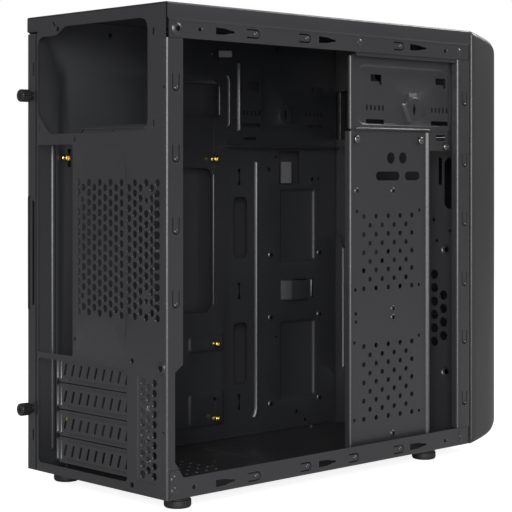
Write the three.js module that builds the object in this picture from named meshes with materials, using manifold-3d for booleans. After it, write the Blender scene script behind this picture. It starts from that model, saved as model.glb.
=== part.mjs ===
// Desktop computer tower: an empty micro-ATX mini tower with its left side panel off.
// Millimetres. +X is the tower's right side, +Y its rear, +Z up.
// Everything is laid out from the rear lower left corner of the steel chassis: x across from the
// open left side, t forward from the rear face (so y = -t), z up from the underside of the pan.
import * as THREE from 'three';
import Module from 'manifold-3d';
import { mergeVertices } from 'three/addons/utils/BufferGeometryUtils.js';

const wasm = await Module();
wasm.setup();

// ---- driving dimensions --------------------------------------------------------------------
const WIDTH = 168;            // steel chassis with its right panel
const DEPTH = 335.7;          // steel chassis, rear face to front face
const HEIGHT = 350;           // underside of the pan to the top sheet
const SHEET = 0.8;            // rolled steel
const GAP = 0.3;              // clearance between pieces that touch
const FOOT_HEIGHT = 9.6;
const FOOT_RADIUS = 10;
const BEZEL_FRONT = 377.4;    // rear face to the front of the bezel
const BEZEL_WALL = 2.4;
const SCREW_REACH = 11;       // thumbscrew heads behind the rear face
const BUTTON_PROUD = 0.6;     // buttons stand this far out of the bezel
const GRIP_PROUD = 2.2;       // finger grip of the side panel beyond the chassis
const BEZEL_PROUD = 0.2;      // bezel rim beyond the chassis on each side

const RAIL = 1.0;             // left rails sit this far in from the top strip
const RAIL_TOP = 338.2;       // joggle line under the top strip
const RAIL_LOW = 325;         // lower edge of the top rails
const RAIL_DEEP = 15;         // width of the rear and front rails
const PAN_RAIL = 14.9;        // height of the bottom rails
const TRAY_X = 156.7;         // left face of the motherboard tray
const BOARD_X = 158.3;        // left face of the field the board stands on
const PLATE_X = 8.5;          // outer face of the drive plates
const CAGE_REAR = 196.3;      // rear fold of the drive plates
const BAY_FLOOR = 253;        // underside of the optical drive's shelf
const SLOT_PITCH = 20.32;     // expansion slots
const SLOT_FIRST = 81.2;      // centre of the top slot
const SLOT_COUNT = 4;
const STANDOFF_HEIGHT = 6.3;
const IO_WINDOW = { x0: 109.9, x1: 154.35, z0: 92.4, z1: 251.15 };
const FAN = { x: 59.6, z: 174.6, pitch: 71.5 };          // 80 mm rear fan
const FRONT_FAN = { x: 79.2, z: 111.2, pitch: 105 };     // 120 mm front fan
const BAY = { x0: 10.2, x1: 157.8, z0: 261, z1: 303.6 }; // 5.25 inch bay

// ---- solids --------------------------------------------------------------------------------
const GRID = 1024;            // vertices sit on 1/1024 mm, so faces in one plane stay in one plane

function solidOf(positions, index) {
  return new wasm.Manifold(new wasm.Mesh({
    numProp: 3,
    vertProperties: Float32Array.from(positions, (v) => Math.round(v * GRID) / GRID),
    triVerts: Uint32Array.from(index),
  }));
}

function solid(geometry) {
  geometry.deleteAttribute('normal');
  geometry.deleteAttribute('uv');
  const merged = mergeVertices(geometry, 1e-4);
  return solidOf(merged.attributes.position.array, merged.index.array);
}

function loop(points) {
  return new THREE.Shape(points.map(([a, b]) => new THREE.Vector2(a, b)));
}

function extrude(points, length) {
  return new THREE.ExtrudeGeometry(loop(points), { depth: length, bevelEnabled: false, steps: 1 });
}

// A sheet facing along X: outline in (t, z), from x0 to x1.
function sheetX(points, holes, x0, x1) {
  const g = extrude(points.map(([t, z]) => [-t, z]), x1 - x0);
  g.applyMatrix4(new THREE.Matrix4().set(0, 0, 1, x0, 1, 0, 0, 0, 0, 1, 0, 0, 0, 0, 0, 1));
  return cut(solid(g), holes.map((hole) => sheetX(hole, [], x0 - 1, x1 + 1)));
}

// A sheet facing along Y: outline in (x, z), from t0 forward to t1.
function sheetY(points, holes, t0, t1) {
  const g = extrude(points.map(([x, z]) => [z, x]), t1 - t0);
  g.applyMatrix4(new THREE.Matrix4().set(0, 1, 0, 0, 0, 0, 1, -t1, 1, 0, 0, 0, 0, 0, 0, 1));
  return cut(solid(g), holes.map((hole) => sheetY(hole, [], t0 - 1, t1 + 1)));
}

// A sheet facing along Z: outline in (x, t), from z0 to z1.
function sheetZ(points, holes, z0, z1) {
  const g = extrude(points.map(([x, t]) => [x, -t]), z1 - z0);
  g.translate(0, 0, z0);
  return cut(solid(g), holes.map((hole) => sheetZ(hole, [], z0 - 1, z1 + 1)));
}

function block(x0, x1, t0, t1, z0, z1) {
  return sheetZ(rect(x0, t0, x1, t1), [], z0, z1);
}

function join(parts) {
  return parts.reduce((a, b) => a.add(b));
}

function cut(body, tools) {
  return tools.reduce((a, b) => a.subtract(b), body);
}

// ---- outlines ------------------------------------------------------------------------------
function rect(a0, b0, a1, b1) {
  return [[a0, b0], [a1, b0], [a1, b1], [a0, b1]];
}

function rounded(a0, b0, a1, b1, r, steps = 3) {
  const corners = [[a1 - r, b0 + r, -90], [a1 - r, b1 - r, 0], [a0 + r, b1 - r, 90], [a0 + r, b0 + r, 180]];
  const points = [];
  for (const [a, b, start] of corners) {
    for (let i = 0; i <= steps; i += 1) {
      const angle = THREE.MathUtils.degToRad(start + 90 * i / steps);
      points.push([a + r * Math.cos(angle), b + r * Math.sin(angle)]);
    }
  }
  return points;
}

function disc(a, b, r, sides = 8, turn = 0) {
  const points = [];
  for (let i = 0; i < sides; i += 1) {
    const angle = 2 * Math.PI * (i + turn) / sides;
    points.push([a + r * Math.cos(angle), b + r * Math.sin(angle)]);
  }
  return points;
}

// Slits that leave a sprung tongue, open at the rear end (along t) or at the top (along z).
function tongueAlongT(t0, t1, z, half = 3.4, slit = 1.1) {
  return [
    [t0, z - half], [t1 - 2, z - half], [t1, z - half + 2], [t1, z + half - 2], [t1 - 2, z + half],
    [t0, z + half], [t0, z + half - slit], [t1 - 2.4, z + half - slit], [t1 - slit, z + half - 2.4],
    [t1 - slit, z - half + 2.4], [t1 - 2.4, z - half + slit], [t0, z - half + slit],
  ];
}

function tongueAlongZ(t, z0, z1, half = 3.6, slit = 1.1) {
  return tongueAlongT(-z1, -z0, t, half, slit).map(([a, b]) => [b, -a]);
}

// Hook slot: tall where a panel hook goes in, narrow where it locks.
function hookSlot(t0, t1, z) {
  const middle = t0 + 0.55 * (t1 - t0);
  return [[t0, z - 2.8], [middle, z - 2.8], [t1 - 6, z - 1.5], [t1, z - 1.5],
    [t1, z + 1.5], [t1 - 6, z + 1.5], [middle, z + 2.8], [t0, z + 2.8]];
}

// Honeycomb cells of one pitch kept by a rule, columns upright.
function honeycomb(a0, b0, columns, rows, pitch, radius, keep, sides = 6) {
  const cells = [];
  for (let i = 0; i < columns; i += 1) {
    for (let j = 0; j < rows - (i % 2); j += 1) {
      const a = a0 + i * pitch * Math.sqrt(3) / 2;
      const b = b0 - (j + 0.5 * (i % 2)) * pitch;
      if (keep(a, b)) {
        cells.push(disc(a, b, radius, sides));
      }
    }
  }
  return cells;
}

// Solid between two outlines with equal counts, lying at two depths: (a, b, depth) to a point.
function loft(outlines, depths, place) {
  const count = outlines[0].length;
  const positions = [];
  const index = [];
  outlines.forEach((outline, k) => {
    for (const [a, b] of outline) {
      positions.push(...place(a, b, depths[k]));
    }
  });
  for (let k = 0; k + 1 < outlines.length; k += 1) {
    for (let i = 0; i < count; i += 1) {
      const j = (i + 1) % count;
      index.push(k * count + i, k * count + j, (k + 1) * count + i);
      index.push(k * count + j, (k + 1) * count + j, (k + 1) * count + i);
    }
  }
  const last = (outlines.length - 1) * count;
  for (let i = 1; i + 1 < count; i += 1) {
    index.push(0, i + 1, i);
    index.push(last, last + i, last + i + 1);
  }
  const body = solidOf(positions, index);
  if (body.volume() > 0) {
    return body;
  }
  const flipped = [];
  for (let i = 0; i < index.length; i += 3) {
    flipped.push(index[i], index[i + 2], index[i + 1]);
  }
  return solidOf(positions, flipped);
}

// A pressed field on a sheet facing Y; positive rise stands out of the rear.
function pressY(body, x0, z0, x1, z1, t0, rise, corner = 3) {
  const far = Math.abs(rise) + 0.2;
  const wide = rounded(x0, z0, x1, z1, corner, 2);
  const tight = Math.min(corner, (Math.min(x1 - x0, z1 - z0) / 2 - far) * 0.9);
  const narrow = rounded(x0 + far, z0 + far, x1 - far, z1 - far, tight, 2);
  const place = (x, z, t) => [x, -t, z];
  const back = rise > 0 ? t0 + SHEET : t0;
  const step = rise > 0 ? SHEET : -SHEET;
  const outer = loft([wide, narrow], [back, back - step - rise], place);
  const inner = loft([wide, narrow], [back + step, back - rise], place);
  return body.add(outer).subtract(inner);
}

// A pressed field on a sheet facing X; positive rise stands toward the open left side.
function pressX(body, t0, z0, t1, z1, x0, rise, corner = 3) {
  const far = Math.abs(rise) + 0.2;
  const wide = rounded(t0, z0, t1, z1, corner, 2);
  const tight = Math.min(corner, (Math.min(t1 - t0, z1 - z0) / 2 - far) * 0.9);
  const narrow = rounded(t0 + far, z0 + far, t1 - far, z1 - far, tight, 2);
  const place = (t, z, x) => [x, -t, z];
  const back = rise > 0 ? x0 + SHEET : x0;
  const step = rise > 0 ? SHEET : -SHEET;
  const outer = loft([wide, narrow], [back, back - step - rise], place);
  const inner = loft([wide, narrow], [back + step, back - rise], place);
  return body.add(outer).subtract(inner);
}

// Turned body about an axis through (a, b): profile is [radius, along] pairs on the axis at both ends.
function turned(profile, sides, place) {
  const g = new THREE.LatheGeometry(profile.map(([r, h]) => new THREE.Vector2(r, h)), sides);
  g.applyMatrix4(place);
  const body = solid(g);
  return body;
}

function alongZ(x, t, z) {
  return new THREE.Matrix4().makeTranslation(x, -t, z)
    .multiply(new THREE.Matrix4().makeRotationX(Math.PI / 2));
}

function rearward(x, t, z) {
  return new THREE.Matrix4().makeTranslation(x, -t, z);
}

function leftward(x, t, z) {
  return new THREE.Matrix4().makeTranslation(x, -t, z)
    .multiply(new THREE.Matrix4().makeRotationZ(Math.PI / 2));
}

// Rivet heads formed on a rail that faces left.
function rivetsX(x, spots, r = 2.5) {
  return spots.map(([t, z]) => sheetX(disc(t, z, r, 8), [], x - 0.7, x + 0.2));
}

// ---- the chassis sheets --------------------------------------------------------------------
const HOOKS = [[46.4, 65], [152.8, 171.8], [259.5, 280]];
const HOOK_TOP = 332;
const HOOK_LOW = 6.4;

function topCover() {
  const parts = [
    sheetZ(rect(0, 0, WIDTH, DEPTH - GAP), [], HEIGHT - SHEET, HEIGHT),
    block(0, SHEET, 0, DEPTH - GAP, RAIL_TOP, HEIGHT - 0.2),
    block(0, RAIL + SHEET, 0, DEPTH - GAP, RAIL_TOP - SHEET, RAIL_TOP),
    block(WIDTH - SHEET, WIDTH, 0, DEPTH - GAP, RAIL_TOP, HEIGHT - 0.2),
    block(WIDTH - RAIL - SHEET, WIDTH, 0, DEPTH - GAP, RAIL_TOP - SHEET, RAIL_TOP),
  ];
  const leftHoles = [
    disc(31, HOOK_TOP, 1.4, 8), disc(304, HOOK_TOP - 0.6, 1.4, 8),
    tongueAlongT(77, 90.2, HOOK_TOP), tongueAlongT(131, 144.2, HOOK_TOP), tongueAlongT(239.6, 252, HOOK_TOP),
    ...HOOKS.map(([a, b]) => hookSlot(a, b, HOOK_TOP)),
  ];
  const rail = rect(2, RAIL_LOW, DEPTH - 1, RAIL_TOP - 0.2);
  parts.push(sheetX(rail, leftHoles, RAIL, RAIL + SHEET));
  parts.push(...rivetsX(RAIL, [[9.4, 331.4], [199, 332.4], [322.3, 331.4]]));
  const rightHoles = HOOKS.map(([a, b]) => hookSlot(a, b, HOOK_TOP));
  parts.push(sheetX(rail, rightHoles, WIDTH - RAIL - SHEET, WIDTH - RAIL));
  return join(parts);
}

const FEET = [[18, 24.5], [150, 24.5], [18, 296.6], [150, 296.6]];

function bottomPan() {
  const right = WIDTH - RAIL - GAP / 3;
  const parts = [sheetZ(
    rect(RAIL, SHEET + GAP, right, DEPTH - SHEET - GAP),
    FEET.map(([x, t]) => disc(x, t, 2.4, 10)),
    0,
    SHEET,
  )];
  const leftHoles = [
    disc(25.3, 7, 1.5, 8), disc(304, 6.4, 1.3, 8),
    tongueAlongT(78, 91.2, HOOK_LOW), tongueAlongT(133, 144.6, HOOK_LOW),
    tongueAlongT(186.5, 198.1, HOOK_LOW), tongueAlongT(239.6, 252, HOOK_LOW),
    ...HOOKS.map(([a, b]) => hookSlot(a, b, HOOK_LOW)),
  ];
  const corner = [[2, 0.2], [DEPTH - 1.2, 0.2], [DEPTH - 1.2, PAN_RAIL], [15.3, PAN_RAIL],
    [11.6, 20.9], [2, 20.9]];
  parts.push(sheetX(corner, leftHoles, RAIL, RAIL + SHEET));
  parts.push(...rivetsX(RAIL, [[6.6, 14.6], [6.8, 6.4], [323.6, 11.8], [323.6, 5.2]]));
  const rail = rect(2, 0.2, DEPTH - 1.2, PAN_RAIL);
  parts.push(sheetX(rail, HOOKS.map(([a, b]) => hookSlot(a, b, HOOK_LOW)), right - SHEET, right));
  return join(parts);
}

const PSU_WINDOW = [[22, 266.7], [25, 260], [138.5, 259.3], [154.6, 275.6], [154.6, 330], [150, 334],
  [130.5, 334], [119.5, 340.4], [29, 340.4], [24, 338.5], [22, 333.5]];
const SLOT_WINDOW = { x0: 45.2, x1: 153.6, z0: 7.6, z1: 88 };
const PANEL_SCREWS = [289.3, 47.6];
const PANEL_SCREW_X = 162.3;

function fanCell(x, z) {
  const dx = Math.abs(x - FAN.x) - FAN.pitch / 2;
  const dz = Math.abs(z - FAN.z) - FAN.pitch / 2;
  return Math.hypot(dx, dz) > 6;
}

function rearPanel() {
  const seam = 156.2;
  const edge = WIDTH - RAIL - GAP / 3;
  const outline = [[RAIL, 0.4], [seam, 0.4], [seam, RAIL_TOP + GAP], [edge, RAIL_TOP + GAP],
    [edge, HEIGHT - SHEET - GAP], [RAIL + SHEET + GAP, HEIGHT - SHEET - GAP],
    [RAIL + SHEET + GAP, RAIL_LOW - GAP], [RAIL, RAIL_LOW - GAP]];
  const holes = [
    PSU_WINDOW,
    rounded(IO_WINDOW.x0, IO_WINDOW.z0, IO_WINDOW.x1, IO_WINDOW.z1, 1.5, 1),
    rounded(SLOT_WINDOW.x0, SLOT_WINDOW.z0, SLOT_WINDOW.x1, SLOT_WINDOW.z1, 2, 1),
    disc(107.4, 255, 1.8, 8), disc(107.2, 105.8, 1.4, 8), disc(39.5, 95.1, 2.1, 8), disc(39.5, 6.3, 2.1, 8),
    disc(128.6, 338.9, 2, 8), disc(3.9, 290, 1.2, 6), disc(4.4, 47.5, 1.2, 6), disc(6.2, 92.5, 2.4, 8),
    rect(14.9, 327.4, 16.4, 332.4), rect(14.9, 262.4, 16.4, 267.4), rect(151.2, 262, 152.6, 266.6),
    [[131.4, 341.6], [132.6, 341.2], [135.4, 344.6], [134.2, 345.2]],
  ];
  let body = sheetY(outline, holes, 0, SHEET);
  body = pressY(body, 6.6, 98, 104.6, 249, 0, 1.2);
  body = pressY(body, 10.6, 9, 33.6, 87, 0, -1.2);
  const cells = [
    ...honeycomb(11.2, 222.8, 15, 14, 7.35, 3.1, fanCell, 4),
    ...honeycomb(15.9, 81.3, 3, 10, 7.33, 3, () => true, 4),
    ...[[-1, -1], [-1, 1], [1, -1], [1, 1]].map(([i, j]) =>
      disc(FAN.x + i * FAN.pitch / 2, FAN.z + j * FAN.pitch / 2, 2.2, 8)),
  ];
  body = cut(body, cells.map((cell) => sheetY(cell, [], -3, 4)));
  // Rail on the left, narrow beside the slots, and its boss.
  const flange = [[0, 1.1], [1.7, 1.1], [1.7, 21.2], [11.4, 21.2], [7.6, 26.6], [7.6, 89.6],
    [RAIL_DEEP, 94.6], [RAIL_DEEP, RAIL_LOW - GAP], [0, RAIL_LOW - GAP]];
  const tongues = [293.6, 243.4, 192.6, 140.8].map((z) => tongueAlongZ(7.6, z - 6.2, z + 6.2));
  const boss = sheetY(disc(6.2, 92.5, 4.6, 12), [disc(6.2, 92.5, 2.4, 8)], -0.9, 0.4);
  // The right edge steps in so that the side panel's flange lies flush.
  const back = edge - SHEET - GAP;
  const under = sheetY(
    [[seam - SHEET, 1.1], [back, 1.1], [back, PAN_RAIL + GAP], [edge, PAN_RAIL + GAP],
      [edge, RAIL_LOW - GAP], [back, RAIL_LOW - GAP], [back, RAIL_TOP + GAP + SHEET],
      [seam - SHEET, RAIL_TOP + GAP + SHEET]],
    PANEL_SCREWS.map((z) => disc(PANEL_SCREW_X, z, 2.4, 10)),
    SHEET + GAP,
    2 * SHEET + GAP,
  );
  return join([
    body,
    sheetX(flange, tongues, RAIL, RAIL + SHEET),
    boss,
    under,
    block(seam - SHEET, seam, 0, 2 * SHEET + GAP, 1.1, RAIL_TOP + GAP + SHEET),
    block(seam - SHEET, back, 0, 2 * SHEET + GAP, RAIL_TOP + GAP, RAIL_TOP + GAP + SHEET),
    block(edge - SHEET, edge, SHEET + GAP, 12, PAN_RAIL + GAP, RAIL_LOW - GAP),
    ...[[5.4, 344.8], [162.3, 344.8]].map(([x, z]) => sheetY(disc(x, z, 2.2, 8), [], -0.5, 0.2)),
  ]);
}

// Rows of five narrow slits, round slots and hook slots that grip an optical drive's side screws.
function driveGrip(spots, hookSpots, pin) {
  return [
    ...hookSpots.map(([t, z]) => [[t - 5.4, z - 2.4], [t + 3.6, z - 2.4], [t + 3.6, z - 4.3],
      [t + 5.4, z - 4.3], [t + 5.4, z + 2.4], [t - 5.4, z + 2.4]]),
    ...spots.flatMap((t) => [-8, -4, 0, 4, 8].map((d) => rect(t + d - 0.7, 280.4, t + d + 0.7, 283.8))),
    ...spots.map((t) => rounded(t - 9, 268.9, t + 9, 272.1, 1.5, 1)),
    [[pin - 2.2, 281.6], [pin, 275.8], [pin + 2.2, 281.6], [pin, 287.4]],
  ];
}

function motherboardTray() {
  const foot = SHEET + GAP;
  const outline = rect(2.5, foot, DEPTH - foot, HEIGHT - foot);
  const field = [[22.3, 13], [234.8, 13], [234.8, 240], [232, 244], [204, 252], [201.5, 256],
    [201.5, 313.4], [22.3, 313.4]];
  const inner = [[24.1, 14.8], [233, 14.8], [233, 239.3], [231, 242.2], [202.2, 250.4], [199.7, 255],
    [199.7, 311.6], [24.1, 311.6]];
  const holes = [
    rounded(100, 111, 184.1, 233.8, 8, 3),
    rounded(128, 277, 189.9, 305.8, 1.5, 1),
    rounded(207.4, 145, 224, 208.8, 5, 2),
    rounded(207.4, 46.5, 224, 99.9, 5, 2),
    rounded(262.6, 219.5, 288.7, 249, 1.5, 1),
    rect(281, 116.4, 300, 134.4), rect(303.6, 116.4, 306.4, 134.4),
    ...driveGrip([229.5, 308], [[230.6, 305.6], [311, 304.4]], 271.4),
    rounded(220.4, 258, 234.8, 260.8, 1.2, 1),
    ...[[252.8, 157], [314.5, 157], [252.8, 101.8], [314.5, 101], [252.8, 25.5], [314.5, 25.2], [285, 15.5],
      [296, 7], [259, 84.5], [250.2, 232.8], [305, 223.7], [312.8, 223.7], [259, 243.7], [185.6, 36.8],
      [72.7, 340], [261.3, 339.4]].map(([t, z]) => disc(t, z, 1.9, 8)),
    ...[[214.5, 226], [214.5, 127.2], [214.5, 30.9], [33, 241.5]].map(([t, z]) =>
      [[t - 1.8, z - 7], [t - 0.4, z], [t - 1.8, z + 7], [t + 1.8, z + 7], [t + 0.9, z], [t + 1.8, z - 7]]),
  ];
  let body = sheetX(outline, [], TRAY_X, TRAY_X + SHEET);
  // The board's field is pressed away from the board; pads, beads and disk seats are pressed in it.
  const place = (t, z, x) => [x, -t, z];
  body = body
    .add(loft([field, inner], [TRAY_X, BOARD_X + SHEET], place))
    .subtract(loft([field, inner], [TRAY_X - SHEET, BOARD_X], place));
  body = pressX(body, 156.4, 76.4, 196, 92.6, BOARD_X, 1.2, 3);
  body = pressX(body, 156.4, 15.6, 196, 45, BOARD_X, 1.2, 3);
  body = pressX(body, 212.8, 264.6, 216.2, 325.4, TRAY_X, 0.8, 1);
  body = pressX(body, 226, 265.6, 332, 327.4, TRAY_X, -1, 3);
  body = pressX(body, 264, 149.4, 309, 216, TRAY_X, -2.2, 3);
  body = pressX(body, 264, 27.2, 309, 98, TRAY_X, -2.2, 3);
  body = cut(body, holes.map((hole) => sheetX(hole, [], TRAY_X - 4, TRAY_X + 6)));
  // Cable bridge standing off the tray, and the lanced tab by the power supply.
  const bridge = sheetZ(
    [[TRAY_X + 0.4, 266], [TRAY_X - 4.4, 276], [TRAY_X - 4.4, 300.4], [TRAY_X + 0.4, 303.2],
      [TRAY_X + 0.4, 301.8], [TRAY_X - 3.6, 299.4], [TRAY_X - 3.6, 276.6], [TRAY_X + 0.4, 267.4]],
    [],
    117,
    133.8,
  );
  const tab = sheetZ(
    [[TRAY_X + 0.4, 205.4], [TRAY_X - 5, 200.2], [TRAY_X - 5, 193], [TRAY_X - 4.2, 193],
      [TRAY_X - 4.2, 199.6], [TRAY_X + 0.4, 204]],
    [],
    328.6,
    334.2,
  );
  return join([
    body,
    bridge,
    tab,
    block(TRAY_X, TRAY_X + 8.6, 2.5, DEPTH - foot, foot, foot + SHEET),
    block(TRAY_X, TRAY_X + 8.6, 2.5, DEPTH - foot, HEIGHT - foot - SHEET, HEIGHT - foot),
    block(TRAY_X, TRAY_X + 3, 2.5, 2.5 + SHEET, foot, HEIGHT - foot),
  ]);
}

function frontFanCell(x, z) {
  return Math.hypot(x - FRONT_FAN.x, z - FRONT_FAN.z) < 51;
}

function frontPanel() {
  const right = WIDTH - RAIL - GAP / 3;
  const front = DEPTH - SHEET;
  const half = FRONT_FAN.pitch / 2;
  const holes = [
    rounded(BAY.x0 + 0.6, BAY.z0 - 1, BAY.x1 - 0.6, BAY.z1 + 1, 2, 1),
    rounded(60, 312, 108, 330, 4, 2),
    rounded(11.5, 199, 27.8, 243, 7, 2),
    rounded(30.6, 219, 34.6, 243, 1.6, 1),
    rounded(143.4, 50, 147.4, 163, 1.6, 1),
    ...honeycomb(FRONT_FAN.x - 41.6, FRONT_FAN.z + 48, 9, 9, 12, 4.9, frontFanCell, 4),
    ...[[-1, -1], [-1, 1], [1, -1], [1, 1]].map(([i, j]) =>
      disc(FRONT_FAN.x + i * half, FRONT_FAN.z + j * half, 2.4, 8)),
    ...[[6.4, 30], [6.4, 178], [6.4, 318], [161.6, 30], [161.6, 178], [161.6, 318]].map(([x, z]) =>
      rounded(x - 2.2, z - 5, x + 2.2, z + 5, 1.5, 1)),
  ];
  const railHoles = [292, 240.5, 190.7, 140.1, 91.2, 39.7].map((z) => tongueAlongZ(327.6, z - 6, z + 6));
  const rail = rect(DEPTH - RAIL_DEEP, PAN_RAIL + GAP, DEPTH, RAIL_LOW - GAP);
  return join([
    sheetY(rect(RAIL, SHEET + GAP, right, HEIGHT - SHEET - GAP), holes, front, DEPTH)
      .subtract(block(0, 3.2, front - 1, DEPTH + 1, RAIL_LOW - GAP, HEIGHT))
      .subtract(block(WIDTH - 3.2, WIDTH, front - 1, DEPTH + 1, RAIL_LOW - GAP, HEIGHT))
      .subtract(block(0, 3.2, front - 1, DEPTH + 1, 0, PAN_RAIL + GAP))
      .subtract(block(WIDTH - 3.2, WIDTH, front - 1, DEPTH + 1, 0, PAN_RAIL + GAP)),
    sheetX(rail, railHoles, RAIL, RAIL + SHEET),
    sheetX(rail, [], right - SHEET, right),
  ]);
}

function sidePanel() {
  const inner = WIDTH - SHEET;
  const skin = rect(0, 0.4, DEPTH - GAP, RAIL_TOP - SHEET - GAP);
  const grip = [[0, 125], [12, 125], [12, 211], [0, 211]];
  const flange = sheetY(
    rect(156.6, 0.4, WIDTH, RAIL_TOP - SHEET - GAP),
    [
      ...PANEL_SCREWS.map((z) => disc(PANEL_SCREW_X, z, 2.4, 10)),
      rect(159.2, 304.6, 160.8, 314.7), rect(159.4, 23.3, 161, 31.8),
      [[158.4, 129], [164, 124], [166.6, 124], [166.6, 212], [164, 212], [158.4, 207]],
    ],
    0,
    SHEET,
  );
  const bulgeOuter = loft(
    [rounded(-8, 121, 16, 214, 2, 1), rounded(-8, 125, 12, 210, 2, 1)],
    [inner + 0.2, WIDTH + GRIP_PROUD],
    (t, z, x) => [x, -t, z],
  ).subtract(block(0, WIDTH + 9, -20, 0, 0, HEIGHT));
  const bulgeInner = loft(
    [rounded(-8, 122, 15, 213, 2, 1), rounded(-8, 126, 11, 209, 2, 1)],
    [inner - 1, WIDTH + 1.4],
    (t, z, x) => [x, -t, z],
  ).subtract(block(0, WIDTH + 9, -20, -2, 0, HEIGHT));
  const hooks = [];
  for (const [, end] of HOOKS) {
    for (const z of [HOOK_TOP, HOOK_LOW]) {
      hooks.push(block(164.4, inner + 0.2, end - 5, end - 1.5, z - 1.1, z + 1.1));
      hooks.push(block(164.4, 165.2, end - 5, end - 1.5, z - 2.4, z + 2.4));
    }
  }
  return join([
    sheetX(skin, [grip], inner, WIDTH),
    flange,
    bulgeOuter,
    ...hooks,
  ]).subtract(bulgeInner.intersect(block(158, WIDTH + 3, 0.8, 20, 120, 216)))
    .subtract(block(inner - 1, WIDTH + 1.4, -1, 11, 126, 209));
}

// ---- drive plates --------------------------------------------------------------------------
function cageLeftWall() {
  const x1 = PLATE_X + SHEET;
  const low = PLATE_X + SHEET + GAP;
  const front = DEPTH - RAIL_DEEP + 9;
  const holes = [
    ...driveGrip([224, 304.5], [[225.7, 305.4], [307, 305.4]], 267),
    [[252.4, 285.6], [254.6, 286.2], [262, 272.6], [259.8, 272]],
  ];
  const lip = rect(CAGE_REAR, 248, front, 265);
  return join([
    sheetX(rect(CAGE_REAR, 264.4, front, 322.4), holes, PLATE_X, x1),
    block(PLATE_X, low + SHEET, CAGE_REAR, front, 264.4, 265.2),
    sheetX(lip, [rect(302.6, 256.6, 314.8, 261.4), disc(314.2, 251.6, 1.6, 8), disc(202.7, 256.4, 1.7, 8),
      disc(280.6, 256.2, 1.7, 8)], low, low + SHEET),
    block(PLATE_X, PLATE_X + 5, CAGE_REAR, CAGE_REAR + SHEET, 304.4, 322.4),
    block(RAIL + SHEET + GAP, x1, CAGE_REAR, front, 321.6, 322.4),
    block(RAIL + SHEET + GAP, RAIL + 2 * SHEET + GAP, CAGE_REAR, front, 321.6, 335),
    block(PLATE_X - 5, PLATE_X + 0.4, front - SHEET, front, 264.4, 322.4),
    block(7.5, 8.7, 261, 269.6, 292, 293.4),
  ]);
}

// Angle on the tray that the optical drive's far side rests on.
function bayShelf() {
  const face = TRAY_X - GAP;
  const front = DEPTH - 3;
  return join([
    sheetX(rect(198.4, BAY_FLOOR, front, BAY_FLOOR + 4.4), [], face - SHEET, face),
    block(148, face, 198.4, front, BAY_FLOOR, BAY_FLOOR + SHEET),
    block(148, 148 + SHEET, 198.4, front, BAY_FLOOR - 1.6, BAY_FLOOR + SHEET),
    ...[202.4, 326].map((t) => sheetX(disc(t, BAY_FLOOR + 2.4, 1.9, 8), [], face - SHEET - 0.9, face - 0.4)),
  ]);
}

function hardDrivePlate() {
  const t1 = 289.5;
  const top = 262.8;
  const foot = SHEET + GAP;
  const cells = [];
  for (const [zTop, zLow] of [[195, 137.4], [91.4, 33.4]]) {
    const pitch = (zTop - zLow) / 4;
    for (let j = 0; j < 9; j += 1) {
      const count = j % 2 ? 4 : 5;
      for (let i = 0; i < count; i += 1) {
        const t = 212 + 14.6 * (i + (j % 2 ? 0.5 : 0));
        cells.push(disc(t, zTop - j * pitch / 2, 2.4, 4, 0.5));
      }
    }
  }
  const holes = [
    ...cells,
    disc(244.4, 241.8, 4.6, 12), disc(259.2, 241.9, 4.6, 12),
    rounded(226.4, 223.6, 255, 230.8, 3.4, 2), rounded(261.8, 223.6, 280, 230.8, 3.4, 2),
    disc(202.7, 256.4, 1.7, 8), disc(280.6, 256.2, 1.7, 8),
    ...[[246.9, 215], [203.8, 215.4], [203.8, 199], [279.9, 199], [202.1, 137], [279.3, 137.5], [200.9, 95.1],
      [279.3, 95.7], [200.9, 33.8], [279.3, 33.5], [246.9, 119.6], [246.9, 112.4], [202.7, 118], [202.7, 111.6],
      [246.9, 18.4]].map(([t, z]) => disc(t, z, 1.6, 4)),
  ];
  return join([
    sheetX(rect(CAGE_REAR, foot, t1, top), holes, PLATE_X, PLATE_X + SHEET),
    block(PLATE_X, PLATE_X + 6, CAGE_REAR, CAGE_REAR + SHEET, foot, 247.6),
    block(PLATE_X, PLATE_X + 6, t1 - SHEET, t1, foot, 247.6),
    block(PLATE_X, PLATE_X + 16, CAGE_REAR, t1, foot, foot + SHEET),
  ]);
}

function psuShelf() {
  const t0 = SHEET + GAP;
  return join([
    sheetY(rect(26, 252, 104, 263), [disc(40, 255.5, 1.8, 8), disc(90, 255.5, 1.8, 8)], t0, t0 + SHEET),
    sheetZ(rounded(26, t0, 104, 18, 3, 2), [], 262.2, 263),
    block(26, 104, 17.2, 18, 257, 262.6).intersect(block(29, 101, 17, 18.2, 257, 263)),
  ]);
}

// ---- expansion slots -----------------------------------------------------------------------
const LEDGE_X = 35.7;
const COVER_T = 2.9;

function slotZ(k) {
  return SLOT_FIRST - k * SLOT_PITCH;
}

function slotLedge() {
  const low = slotZ(SLOT_COUNT - 1) - 12;
  const high = slotZ(0) + 12.6;
  const holes = [];
  for (let k = 0; k < SLOT_COUNT; k += 1) {
    holes.push(disc(11, slotZ(k), 1.9, 8));
  }
  return join([
    sheetX(rect(COVER_T + SHEET + GAP, low, 17, high), holes, LEDGE_X, LEDGE_X + SHEET),
    block(LEDGE_X, LEDGE_X + 9, 16.2, 17, low, high),
    ...[[low, low + 1.4], [high - 1.4, high]].map(([a, b]) =>
      block(LEDGE_X, LEDGE_X + 9, 2.6, 16.8, a, b)),
  ]);
}

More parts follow.
